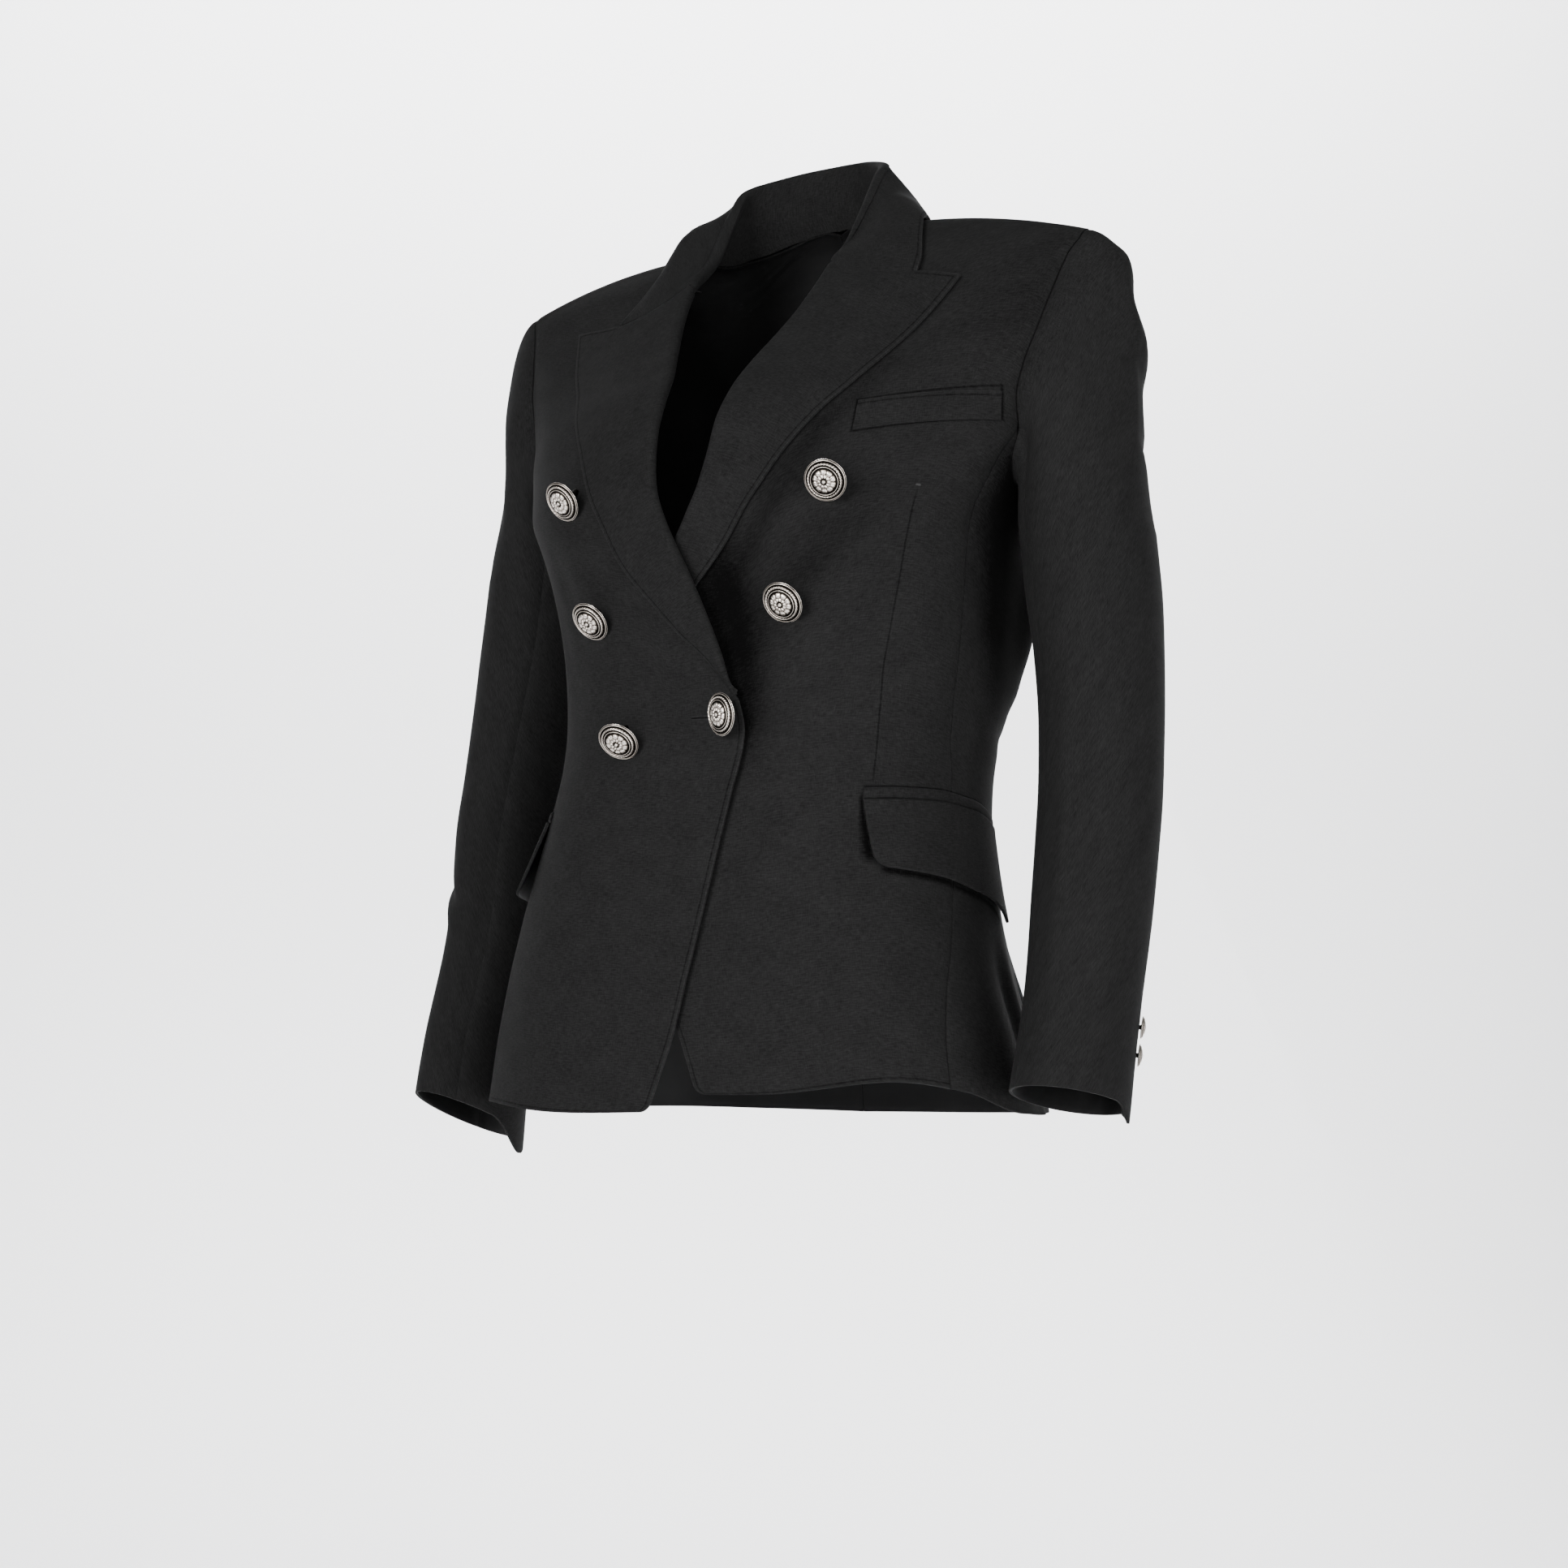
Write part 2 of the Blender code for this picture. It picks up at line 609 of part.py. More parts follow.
def lapel_row(side, rise, shares):
    """One row of the lapel, from under the roll line round it and out to the edge."""
    roll_level = lerp(BREAK_LEVEL + 0.004, GORGE_LEVEL - 0.0004, rise)
    edge_level = lerp(LAPEL_EDGE[0].level, LAPEL_EDGE[-1].level - 0.0004, rise)
    roll_x = smooth(ROLL_LINE, "level", "x", roll_level)
    edge_x = smooth(LAPEL_EDGE, "level", side_name(side), edge_level)
    radius = lerp(BREAK_RADIUS, ROLL_RADIUS, ease(rise, 0, 0.25))
    row = []
    for inwards, lift in roll_profile(radius):
        angle = angle_of(side, roll_level, roll_x - inwards)
        row.append(lifted(lapped, side, roll_level, angle, lift))
    for share in shares:
        x = lerp(roll_x, edge_x, share)
        level = lerp(roll_level, edge_level, share)
        gorge_x, gorge_level = gorge_place(side, share)
        first_x, first_level = gorge_place(side, 0)
        last_x, last_level = gorge_place(side, 1)
        bend = ease(rise, 0.80, 1.0)
        x += (gorge_x - lerp(first_x, last_x, share)) * bend
        level += (gorge_level - lerp(first_level, last_level, share)) * bend
        lift = lerp(2 * radius, LAPEL_EDGE_LIFT, share**0.7)
        row.append(lifted(lapped, side, level, angle_of(side, level, x), lift))
    return row


def lapel(side):
    shares = (0.12, 0.28, 0.46, COLLAR_CORNER_SHARE, 0.82, 1.0)
    rises = [0.0, 0.05, 0.12, 0.20, 0.28, 0.36, 0.44, 0.52, 0.60, 0.68, 0.76, 0.84, 0.91, 0.96, 1.0]
    grid = [lapel_row(side, rise, shares) for rise in rises]
    sheet("lapel_" + side_name(side), grid, Vector((0.2 * side, -1, 0.3)), WOOL_MATERIAL)


def collar_station(side, share):
    """Points across the folded collar at one place round the neck."""
    values = {name: smooth(COLLAR, "share", name, share) for name in Collar._fields[1:]}
    behind = share > COLLAR_SHOULDER
    seam_angle = angle_of(side, values["seam_level"], values["seam_x"], behind)
    seam = torso(side, values["seam_level"], seam_angle)
    edge_angle = angle_of(side, values["edge_level"], values[side_name(side)], behind)
    edge = lifted(torso, side, values["edge_level"], edge_angle, COLLAR_EDGE_LIFT)
    roll = Vector((side * values["roll_x"], values["roll_y"], values["roll_z"]))
    gorge_angle = angle_of(side, GORGE_LEVEL, GORGE[0].left)
    gorge_normal = normal_of(torso, side, GORGE_LEVEL, gorge_angle)
    around = Vector((roll.x, roll.y - COLLAR_CENTRE_Y, 0)).normalized()
    out = gorge_normal.lerp(around, ease(share, 0, 0.3)).normalized()
    up = roll - (seam + edge) / 2
    up = (up - out * up.dot(out)).normalized()
    centre = roll - up * ROLL_RADIUS
    inner = centre - out * ROLL_RADIUS
    outer = centre + out * ROLL_RADIUS
    points = [seam.lerp(inner, t) for t in (0, 0.35, 0.7, 1.0)]
    for turn in (135, 90, 45):
        a = math.radians(turn)
        points.append(centre + out * (ROLL_RADIUS * math.cos(a)) + up * (ROLL_RADIUS * math.sin(a)))
    for t in (0, 0.2, 0.4, 0.6, 0.8, 1.0):
        points.append(outer.lerp(edge, t) + (out + up) * (COLLAR_BELLY * math.sin(math.pi * t)))
    return points


def gorge_station(side):
    """The collar's end, point for point along the lapel's top row."""
    level = GORGE_LEVEL + SEAM_GAP
    turned = roll_profile(ROLL_RADIUS)
    points = []
    for inwards, lift in [turned[0]] * 3 + turned:
        angle = angle_of(side, level, GORGE[0].left - inwards)
        points.append(lifted(torso, side, level, angle, lift))
    for t in (0.2, 0.4, 0.6, 0.8, 1.0):
        share = t * COLLAR_CORNER_SHARE
        x, place = gorge_place(side, share)
        lift = lerp(2 * ROLL_RADIUS, LAPEL_EDGE_LIFT, share**0.7)
        level = place + 2 * SEAM_GAP
        points.append(lifted(torso, side, level, angle_of(side, level, x), lift))
    return points


def collar_half(side, shares):
    end = gorge_station(side)
    first = collar_station(side, 0.0)
    half = []
    for share in shares:
        fade = 1 - ease(share, 0, 0.22)
        station = collar_station(side, share)
        half.append([p + (e - f) * fade for p, e, f in zip(station, end, first)])
    return half


def collar():
    shares = [0.0, 0.06, 0.13, 0.20, 0.27, 0.345, 0.42, 0.51, 0.60, 0.70, 0.80, 0.90, 1.0]
    grid = collar_half(1, shares) + collar_half(-1, shares[:-1])[::-1]
    sheet("collar", grid, Vector((0, 1, 0)), WOOL_MATERIAL)


# Sleeves


def armhole_point(side, share):
    """Point of the armhole, share of the way round it from the shoulder seam by the front."""
    places = [torso(side, row.level, row.angle) for row in ARMHOLE]
    ways = [0.0]
    for a, b in zip(places, places[1:]):
        ways.append(ways[-1] + (b - a).length)
    row_type = namedtuple("Round", "way level angle")
    rows = [
        row_type(way / ways[-1], row.level, row.angle) for way, row in zip(ways, ARMHOLE)
    ]
    level = smooth(rows, "way", "level", share)
    angle = smooth(rows, "way", "angle", share)
    return torso(side, level, angle)


def arm_point(side, level, angle):
    """Point of the sleeve below its head, by angle from the outer side to the front."""
    x = smooth(SLEEVE, "level", "x", level)
    y = smooth(SLEEVE, "level", "y", level)
    half_x = smooth(SLEEVE, "level", "half_x", level)
    half_y = smooth(SLEEVE, "level", "half_y", level)
    pitch = smooth(SLEEVE, "level", "pitch", level)
    turn = math.radians(angle)
    out = half_x * math.cos(turn)
    ahead = -half_y * math.sin(turn)
    z = level + pitch * ahead
    if side < 0:
        down = ease(level, SLEEVE[1].level, SLEEVE[-1].level)
        out *= 1 - RIGHT_CUFF_NARROW * down
        z += down * (RIGHT_CUFF_TILT * out + RIGHT_CUFF_PITCH * ahead - RIGHT_CUFF_DROP)
        x += RIGHT_CUFF_OUT * down - RIGHT_ELBOW_IN * bump(level, RIGHT_ELBOW_LEVEL, RIGHT_ELBOW_HALF)
    return Vector((side * (x + out), y + ahead, z))


def sleeve_point(side, along, angle):
    """Point of the sleeve, along from 0 at the armhole, 1 at its head's foot, to 2 at the cuff."""
    if along >= 1:
        level = lerp(SLEEVE[0].level, SLEEVE[-1].level, along - 1)
        return arm_point(side, level, angle)
    turn = math.radians(angle)
    way_out = Vector((side, 0.22 - 0.30 * math.sin(turn), -0.05 - 0.25 * math.cos(turn))).normalized()
    start = armhole_point(side, (angle % 360) / 360) + way_out * ARMHOLE_CLEAR
    end = arm_point(side, SLEEVE[0].level, angle)
    reach = (end - start).length
    leave = way_out * (reach * HEAD_FULLNESS)
    arrive = Vector((side * HEAD_SLOPE, 0, -1)) * reach
    t = along
    return (
        start * ((1 + 2 * t) * (1 - t) ** 2)
        + leave * (t * (1 - t) ** 2)
        + end * (t * t * (3 - 2 * t))
        + arrive * (t * t * (t - 1))
    )


SLEEVE_STEPS = [0, 0.12, 0.26, 0.42, 0.60, 0.80] + spread(1, 2, 13)


def sleeve(side):
    upper = spread(BACK_ARM_SEAM - 360 + ARM_SEAM_HALF, FRONT_ARM_SEAM - ARM_SEAM_HALF, 12)
    under = spread(FRONT_ARM_SEAM + ARM_SEAM_HALF, BACK_ARM_SEAM - ARM_SEAM_HALF, 10)
    outer = Vector((side, 0, 0))
    for name, angles, outward in (("upper", upper, outer), ("under", under, -outer)):
        grid = [[sleeve_point(side, along, a) for a in angles] for along in SLEEVE_STEPS]
        sheet(name + "_sleeve_" + side_name(side), grid, outward, WOOL_MATERIAL)


# Pockets


def pocket_level(side, field, angle):
    drop = POCKET_DROP_RIGHT if side < 0 else 0.0
    return smooth(POCKET, "angle", field, angle) - drop


def pocket_jet(side):
    angles = spread(POCKET[0].angle, POCKET[-1].angle, 10)
    grid = []
    for share in (0, 1):
        row = []
        for angle in angles:
            level = pocket_level(side, "mouth", angle) + SEAM_GAP + JET_HEIGHT * share
            row.append(lifted(torso, side, level, angle, JET_LIFT))
        grid.append(row)
    outward = Vector((side, -0.3, 0))
    sheet("pocket_jet_" + side_name(side), grid, outward, WOOL_MATERIAL, TRIM_CLOTH)


def pocket_flap(side):
    hem_lift = FLAP_HEM_LIFT_LEFT if side > 0 else FLAP_HEM_LIFT_RIGHT
    grid = []
    for share in spread(0, 1, 5):
        row = []
        for place in spread(0, 1, 10):
            start = POCKET[0].angle + FLAP_FRONT_SLANT * share
            angle = lerp(start, POCKET[-1].angle, place)
            mouth = pocket_level(side, "mouth", angle) - SEAM_GAP
            hem = pocket_level(side, "flap_hem", angle)
            lift = lerp(FLAP_TOP_LIFT, hem_lift, share)
            row.append(lifted(torso, side, lerp(mouth, hem, share), angle, lift))
        grid.append(row)
    sheet("pocket_flap_" + side_name(side), grid, Vector((side, -0.3, 0)), WOOL_MATERIAL)


def chest_welt():
    grid = []
    for share in (0, 0.5, 1):
        row = []
        for place in spread(0, 1, 8):
            x = lerp(WELT_START_X, WELT_END_X, place)
            level = lerp(WELT_START_TOP, WELT_END_TOP, place) - WELT_HEIGHT * share
            row.append(lifted(lapped, 1, level, angle_of(1, level, x), WELT_LIFT))
        grid.append(row)
    sheet("chest_welt", grid, Vector((0.3, -1, 0)), WOOL_MATERIAL, TRIM_CLOTH)


# Buttons


def button_mesh(name, radius):
    """Outline of a domed button with a raised rim and a short shank, from the top's middle out."""
    profile = (
        (0.00, 0.52),
        (0.30, 0.49),
        (0.58, 0.41),
        (0.66, 0.37),
        (0.80, 0.37),
        (0.93, 0.29),
        (1.00, 0.21),
        (0.95, 0.15),
        (0.28, 0.12),
        (0.26, 0.00),
        (0.00, 0.00),
    )
    mesh = bmesh.new()
    points = [mesh.verts.new((radius * r, 0, radius * h)) for r, h in profile]
    for a, b in zip(points, points[1:]):
        mesh.edges.new((a, b))
    data = bpy.data.meshes.new(name)
    mesh.to_mesh(data)
    mesh.free()
    return data


def place_button(name, point, normal, radius, steps):
    obj = bpy.data.objects.new(name, button_mesh(name, radius))
    PARTS.objects.link(obj)
    obj.data.materials.append(SILVER_MATERIAL)
    obj.matrix_world = Matrix.Translation(point) @ normal.to_track_quat("Z", "Y").to_matrix().to_4x4()
    turned = obj.modifiers.new("turned", "SCREW")
    turned.axis = "Z"
    turned.steps = steps
    turned.render_steps = steps
    turned.use_merge_vertices = True
    turned.merge_threshold = 0.00002
    turned.use_smooth_shade = True
    return obj


def front_buttons():
    for item in BUTTONS:
        angle = angle_of(item.side, item.level, item.x)
        point = lapped(item.side, item.level, angle)
        normal = normal_of(lapped, item.side, item.level, angle)
        seat = point + normal * (CLOTH / 2 + SEAM_GAP)
        place_button(item.name, seat, normal, BUTTON_RADIUS, BUTTON_STEPS)


def cuff_buttons(side):
    for label, share in CUFF_BUTTON_STATIONS:
        along = 1 + share
        point = sleeve_point(side, along, CUFF_BUTTON_ANGLE)
        down = sleeve_point(side, along + 0.02, CUFF_BUTTON_ANGLE) - point
        around = sleeve_point(side, along, CUFF_BUTTON_ANGLE + 4) - point
        normal = (around.cross(down) * side).normalized()
        seat = point + normal * (CLOTH / 2 + 2 * SEAM_GAP)
        name = "cuff_button_" + side_name(side) + "_" + label
        place_button(name, seat, normal, CUFF_BUTTON_RADIUS, CUFF_BUTTON_STEPS)


clear_scene()
PARTS = new_collection("fitted_jacket")
WOOL_MATERIAL = new_material("black_wool", WOOL, 0.85, 0.0)
SILVER_MATERIAL = new_material("antique_silver", SILVER, 0.35, 1.0)

for wearer_side in (1, -1):
    front_panel(wearer_side)
    side_panel(wearer_side)
    back_panel(wearer_side)
    lapel(wearer_side)
    sleeve(wearer_side)
    pocket_jet(wearer_side)
    pocket_flap(wearer_side)
    cuff_buttons(wearer_side)
collar()
chest_welt()
front_buttons()
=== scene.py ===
"""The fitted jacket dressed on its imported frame: cloth panels, pressed seams, relief buttons."""

import math
from collections import namedtuple
from functools import partialmethod

import bpy
import numpy as np
from mathutils import Matrix, Vector


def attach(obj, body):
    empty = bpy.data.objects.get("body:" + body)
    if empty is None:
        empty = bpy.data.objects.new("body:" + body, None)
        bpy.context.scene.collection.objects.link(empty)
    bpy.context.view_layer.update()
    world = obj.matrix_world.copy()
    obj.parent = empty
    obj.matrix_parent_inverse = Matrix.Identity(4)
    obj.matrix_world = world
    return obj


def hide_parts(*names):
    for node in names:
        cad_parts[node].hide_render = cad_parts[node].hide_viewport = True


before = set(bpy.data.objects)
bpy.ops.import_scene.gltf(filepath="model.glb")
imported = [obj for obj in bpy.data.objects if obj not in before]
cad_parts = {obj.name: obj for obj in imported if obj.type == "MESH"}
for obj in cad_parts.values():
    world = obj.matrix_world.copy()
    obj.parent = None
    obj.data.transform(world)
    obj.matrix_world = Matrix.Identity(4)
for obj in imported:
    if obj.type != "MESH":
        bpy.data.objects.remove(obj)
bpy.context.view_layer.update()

# Driving dimensions, in metres and degrees
CLOTH = 0.002  # wall of the wool with its interlining
TRIM_CLOTH = 0.0012  # jets and the breast welt
SEAM_GAP = 0.0003
NECK_CLEAR = 0.0024  # from the collar's seam to a panel
SHOULDER_FALL = 1.1  # by the squared way past NECK_HALF
NECK_HALF = 0.07
FALL_LEVEL = -0.17  # where the shoulder's slope has died out
NAPE_LIFT, NAPE_HALF = 0.068, 0.11  # the cloth's rise at the back neck
HEM_LEVEL = -0.59  # before each panel bends it
HEM_BEND_TOP = -0.42
HEM_CORNER = 0.007  # radius of the fronts' corners
BREAK_LEVEL = -0.323  # where the lapel begins to roll
GORGE_LEVEL = -0.036  # where the roll line crosses the gorge seam
GORGE_GAP = 0.0002  # from the gorge to the lapel and to the collar
FLUTE_TOP = -0.4
FLUTE_DEPTH, FLUTE_ANGLE, FLUTE_HALF = 0.01, 140, 20  # in each back panel at the hem
TUCK_DEPTH, TUCK_ANGLE, TUCK_HALF = 0.006, 114, 14  # the hollow beside the flute
ROLL_RADIUS, BREAK_RADIUS = 0.0032, 0.0022
BREAK_FOLD = 0.0003  # radius of the fold where the lapel begins
BREAK_FADE = 0.09  # share of the lapel's height where it opens
LAPEL_EDGE_LIFT, COLLAR_EDGE_LIFT = 0.003, 0.0034
COLLAR_BELLY = 0.0035  # how far the collar's fall bows out
COLLAR_FULLER = 0.0055  # and how much more beside the neck
COLLAR_CENTRE_Y = 0.015
COLLAR_CORNER = 0.64  # share of the gorge that the collar covers
COLLAR_SHOULDER = 0.42  # past this share it lies on the back
SEWN_DIP, SEWN_DIP_HALF = 0.0007, 0.0022  # collar and lapels sink at the gorge
SIDE_TOP = -0.205  # above it the side's rows follow the armhole
FRONT_JOINT, BACK_JOINT = -0.149, -0.145  # where the side seams meet the armhole
JET_HEIGHT = 0.006
FLAP_TOP_LIFT, FLAP_HEM_LIFT = 0.0027, {1: 0.005, -1: 0.0095}
FLAP_CORNER, FLAP_DEPTH = 0.009, 0.05
FLAP_SLANT = 3.5  # how far its front edge leans back
RIGHT_POCKET_DROPS = (0.008, 0.014)  # of mouth and hem
WELT_X, WELT_TOP = (0.109, 0.179), (-0.141, -0.129)  # at the welt's two ends
WELT_HEIGHT, WELT_LIFT = 0.02, 0.0016
DART_TOP, DART_FOOT = (0.146, -0.1957), (0.1207, -0.3793)  # own x and level
BUTTONHOLE = (-0.028, -0.3362)  # own x and level of its middle
LAP_INNER, LAP_OUTER = 0.03, 0.085  # the left front is drawn in inside these x
SLEEVE_HEAD_LEVEL = -0.215  # the first section below the sleeve head
HEAD_FULLNESS = 0.72  # how far the head stands out
HEAD_SLOPE = 0.26  # how far out it still runs at its foot
SEWN_CLEAR = 0.0004  # from armhole to sleeve
FRONT_ARM_SEAM, BACK_ARM_SEAM = 125, 310
RIGHT_DROP, RIGHT_OUT, RIGHT_NARROW = 0.022, 0.018, 0.09  # how the right sleeve differs
RIGHT_PITCH, RIGHT_TILT = -0.15, 0.12
ELBOW_IN, ELBOW_LEVEL, ELBOW_HALF = 0.006, -0.455, 0.08  # where the right sleeve is drawn in
CUFF_TIP_TOP = -0.53
BUTTON_RADIUS, CUFF_BUTTON_RADIUS = 0.0138, 0.0076
BUTTON_SHARE = 0.945  # of the solids' radius, as its rim stands out
CUFF_BUTTON_ANGLE = 326
CUFF_BUTTON_STAND = 0.0014  # over the sleeve's middle layer
FACE_STEPS = 72
CORD_SLANT = 110  # slant of the cord's strands
STITCH_IN, STITCH_PITCH = 0.003, 0.0045  # pick stitching
GIRTH, SLEEVE_GIRTH = math.radians(1) * 0.14, math.radians(1) * 0.042  # metres for one degree
SLEEVE_RUN = 0.36  # metres from its head's foot to the cuff
FAR = 1.0  # for marks that a piece doesn't have
FLOOR_LEVEL, BACKDROP_Y = -1.4, 2.6
CAMERA_TURN = math.radians(31)
CAMERA_PLACE = (-0.006, -1.7, -0.495)  # before it is turned
FOCAL_PIXELS, HORIZON_PIXEL, IMAGE_PIXELS = 3099, 1200, 1932
SENSOR = 36


def table(fields, *rows):
    row_type = namedtuple("Row", fields)
    return tuple(row_type(*row) for row in rows)


# Torso: half width, reach to front and back, where it is widest, shift to the wearer's left, and
# the power of its superellipse
TORSO = table(
    "level half_width front back middle sway power",
    (-.62, .204, .159, .124, -.018, -.012, 2.3), (-.58, .194, .157, .12, -.02, -.012, 2.3),
    (-.54, .184, .156, .116, -.022, -.012, 2.35), (-.5, .172, .155, .112, -.023, -.012, 2.4),
    (-.46, .161, .153, .106, -.025, -.01, 2.4), (-.42, .151, .151, .098, -.027, -.005, 2.4),
    (-.39, .145, .15, .092, -.028, 0, 2.4), (-.36, .142, .149, .088, -.028, .006, 2.4),
    (-.33, .144, .148, .09, -.028, .011, 2.4), (-.3, .148, .148, .098, -.026, .013, 2.4),
    (-.27, .151, .148, .104, -.022, .012, 2.45), (-.24, .156, .148, .108, -.019, .009, 2.5),
    (-.21, .163, .146, .11, -.017, .004, 2.55), (-.19, .172, .142, .11, -.015, 0, 2.4),
    (-.17, .18, .136, .109, -.013, 0, 2.2), (-.15, .1892, .129, .106, -.01, 0, 2),
    (-.13, .1923, .117, .103, -.008, 0, 2), (-.106, .2, .0965, .098, -.006, 0, 2),
    (-.08, .21, .0745, .089, -.004, 0, 2), (-.057, .217, .0565, .075, -.001, 0, 2),
    (-.036, .225, .0395, .057, .002, 0, 2), (-.02, .23, .0265, .043, .003, 0, 2),
    (-.009, .235, .0145, .029, .004, 0, 2), (-.0025, .238, .005, .016, .004, 0, 2),
    (0, .24, -.004, .004, .004, 0, 2),
)
# How much of NAPE_LIFT the back half takes at each level
NAPE = table("level share", (-.17, 0), (-.1, .45), (-.045, 1), (-.02, .78), (-.008, .36), (0, 0))
# Lines on a front or back, in its own x, positive away from the other one
FRONT_EDGE = table(
    "level left right",
    (-.62, .032, .022), (-.582, .018, .009), (-.54, .004, -.006), (-.497, -.012, -.0165),
    (-.457, -.025, -.0255), (-.418, -.0345, -.0345), (-.387, -.0425, -.0425), (-.345, -.052, -.052),
    (BREAK_LEVEL, -.0475, -.0475),
)
ROLL_LINE = table(
    "level x",
    (BREAK_LEVEL, -.0475), (-.314, -.0415), (-.285, -.029), (-.245, -.01), (-.225, .001),
    (-.21, .009), (-.19, .018), (-.17, .023), (-.15, .026), (-.13, .029), (-.11, .034),
    (-.09, .042), (-.07, .049), (-.05, .054), (GORGE_LEVEL, .056),
)
NECK_FRONT = table("level x", (GORGE_LEVEL, .056), (-.02, .064), (-.008, .071), (0, .077))
NECK_BACK = table("level x", (-.045, 0), (-.038, .028), (-.024, .05), (-.009, .067), (0, .077))
LAPEL_EDGE = table(
    "level left right",
    (-.318, -.0415, -.0415), (-.3, -.031, -.027), (-.285, -.018, -.009), (-.262, .004, .014),
    (-.24, .025, .035), (-.225, .037, .046), (-.21, .047, .055), (-.19, .061, .069),
    (-.17, .073, .081), (-.15, .086, .093), (-.13, .102, .106), (-.11, .116, .117),
    (-.09, .129, .13), (-.065, .141, .141), (-.05, .147, .147),
)
# The gorge seam and the lapel's top edge, from the roll line to the peak
GORGE = table(
    "share left left_level right right_level",
    (0, .056, GORGE_LEVEL, .056, GORGE_LEVEL), (.17, .072, -.0475, .069, -.046),
    (.64, .118, -.048, .106, -.056), (1, .147, -.05, .147, -.0495),
)
# Side seams, as angles round the torso from the middle of the front
SIDE_SEAMS = table(
    "level front back",
    (-.62, 64, 120), (-.565, 66.5, 121), (-.52, 71.5, 122.5), (-.48, 77.5, 124), (-.42, 83, 127),
    (-.375, 83, 128), (-.345, 79, 127), (-.3, 76, 124), (-.24, 76.5, 120.5), (-.15, 78, 118),
)
# The armhole, from the shoulder down the front, under the arm and up the back
ARMHOLE = table(
    "level angle",
    (0, 64), (-.012, 65), (-.033, 65.4), (-.057, 67.5), (-.08, 68.8), (-.104, 70.8), (-.126, 73.5),
    (-.146, 77), (-.168, 82), (-.184, 89), (-.19, 98), (-.184, 107), (-.168, 114), (-.145, 118),
    (-.115, 116.5), (-.085, 114.5), (-.055, 113), (-.03, 113), (-.012, 114.5), (0, 116),
)
# Level of the hem round each side
HEM = table(
    "angle left right",
    (-14, -.571, -.579), (20, -.569, -.584), (50, -.561, -.581), (70, -.568, -.583),
    (88, -.583, -.587), (120, -.588, -.592), (180, -.594, -.594),
)
# How far the left front lies inside the right one
LAP = table("level depth", (-.62, .0045), (-.4, .005), (-.335, .0095), (-.23, .0095), (-.15, 0))
# Arm sections: place of the middle, half sizes, and how the ring tips to the front
SLEEVE = table(
    "level x y half_x half_y pitch",
    (SLEEVE_HEAD_LEVEL, .2105, .015, .04, .053, 0), (-.25, .2155, .013, .04, .051, 0),
    (-.29, .2206, .009, .0385, .049, -.02), (-.343, .2255, .002, .0367, .047, -.06),
    (-.395, .2275, -.006, .036, .0465, -.1), (-.45, .2273, -.016, .035, .046, -.15),
    (-.515, .226, -.029, .033, .0445, -.2), (-.573, .2237, -.043, .0335, .046, -.24),
)
# Low tips of the cuffs
CUFF_TIPS = table("side angle half drop", (1, 332, 34, .009), (-1, 206, 42, .016))
# The collar, from the gorge to the middle of the back: its neck seam and edge as places on the
# torso, with the edge's x on each side, and the top of its roll as a point
COLLAR = table(
    "share seam_level seam_x edge_level left right roll_x roll_y roll_z",
    (0, -.036, .056, -.051, .118, .106, .052, -.04, -.036),
    (.12, -.026, .061, -.038, .117, .097, .053, -.026, -.021),
    (.26, -.013, .0685, -.018, .111, .09, .054, -.011, -.001),
    (.42, 0, .077, 0, .1, .09, .0555, .007, .024),
    (.6, -.013, .063, -.02, .091, .087, .0555, .025, .047),
    (.8, -.033, .037, -.045, .056, .056, .036, .05, .061),
    (.9, -.042, .0185, -.059, .028, .028, .0185, .0595, .0655),
    (1, -.045, 0, -.064, 0, 0, 0, .062, .0665),
)
# Hip pocket, on the wearer's left
POCKET = table(
    "angle mouth flap_hem",
    (50, -.3872, -.428), (62, -.3864, -.431), (76, -.3866, -.435), (92, -.3905, -.445),
    (101, -.395, -.454), (108, -.4, -.468),
)
# Section of a jet, out through the slit, over the lip and up to its seam: the way up from the
# mouth and the lift from the panel
JET_SECTION = table(
    "share up lift",
    (0, .0014, -.0034), (.3, .0006, -.0006), (.42, .0001, .0008), (.5, .0006, .0018),
    (.62, .002, .0021), (.8, .0042, .002), (.93, .0058, .0016), (1, .0066, .0008),
)
# Creases: soft troughs and ridges of the cloth
BODY_CREASES = table(
    "side level angle to_level to_angle half depth",
    (1, -.285, 2, -.196, 46, .018, -.004), (1, -.318, 14, -.238, 56, .015, .002),
    (1, -.33, 26, -.29, 66, .012, -.0016), (1, -.362, 8, -.335, 40, .012, .0012),
    (1, -.232, 112, -.322, 118, .026, .0032), (1, -.225, 111, -.3, 113, .02, .0042),
    (1, -.205, 76, -.305, 88, .014, -.0026), (1, -.475, 96, -.585, 98, .009, -.0045),
    (1, -.47, 130, -.64, 132, .03, .0045), (1, -.5, 88, -.588, 86, .01, .0018),
    (1, -.335, 96, -.352, 140, .008, -.0018), (1, -.306, 100, -.322, 150, .009, .0012),
    (-1, -.215, 42, -.3, 30, .013, -.0014), (-1, -.24, 56, -.33, 44, .01, .001),
    (-1, -.205, 74, -.3, 84, .014, -.0024), (-1, -.335, -6, -.35, 36, .011, .0009),
    (-1, -.372, 2, -.42, 40, .013, -.0009), (-1, -.48, 100, -.588, 104, .009, -.0036),
    (-1, -.338, 98, -.35, 136, .009, -.0016), (-1, -.312, 104, -.324, 148, .008, .0011),
    (1, -.135, 128, -.19, 152, .013, -.0012), (-1, -.128, 130, -.2, 150, .012, -.0013),
)
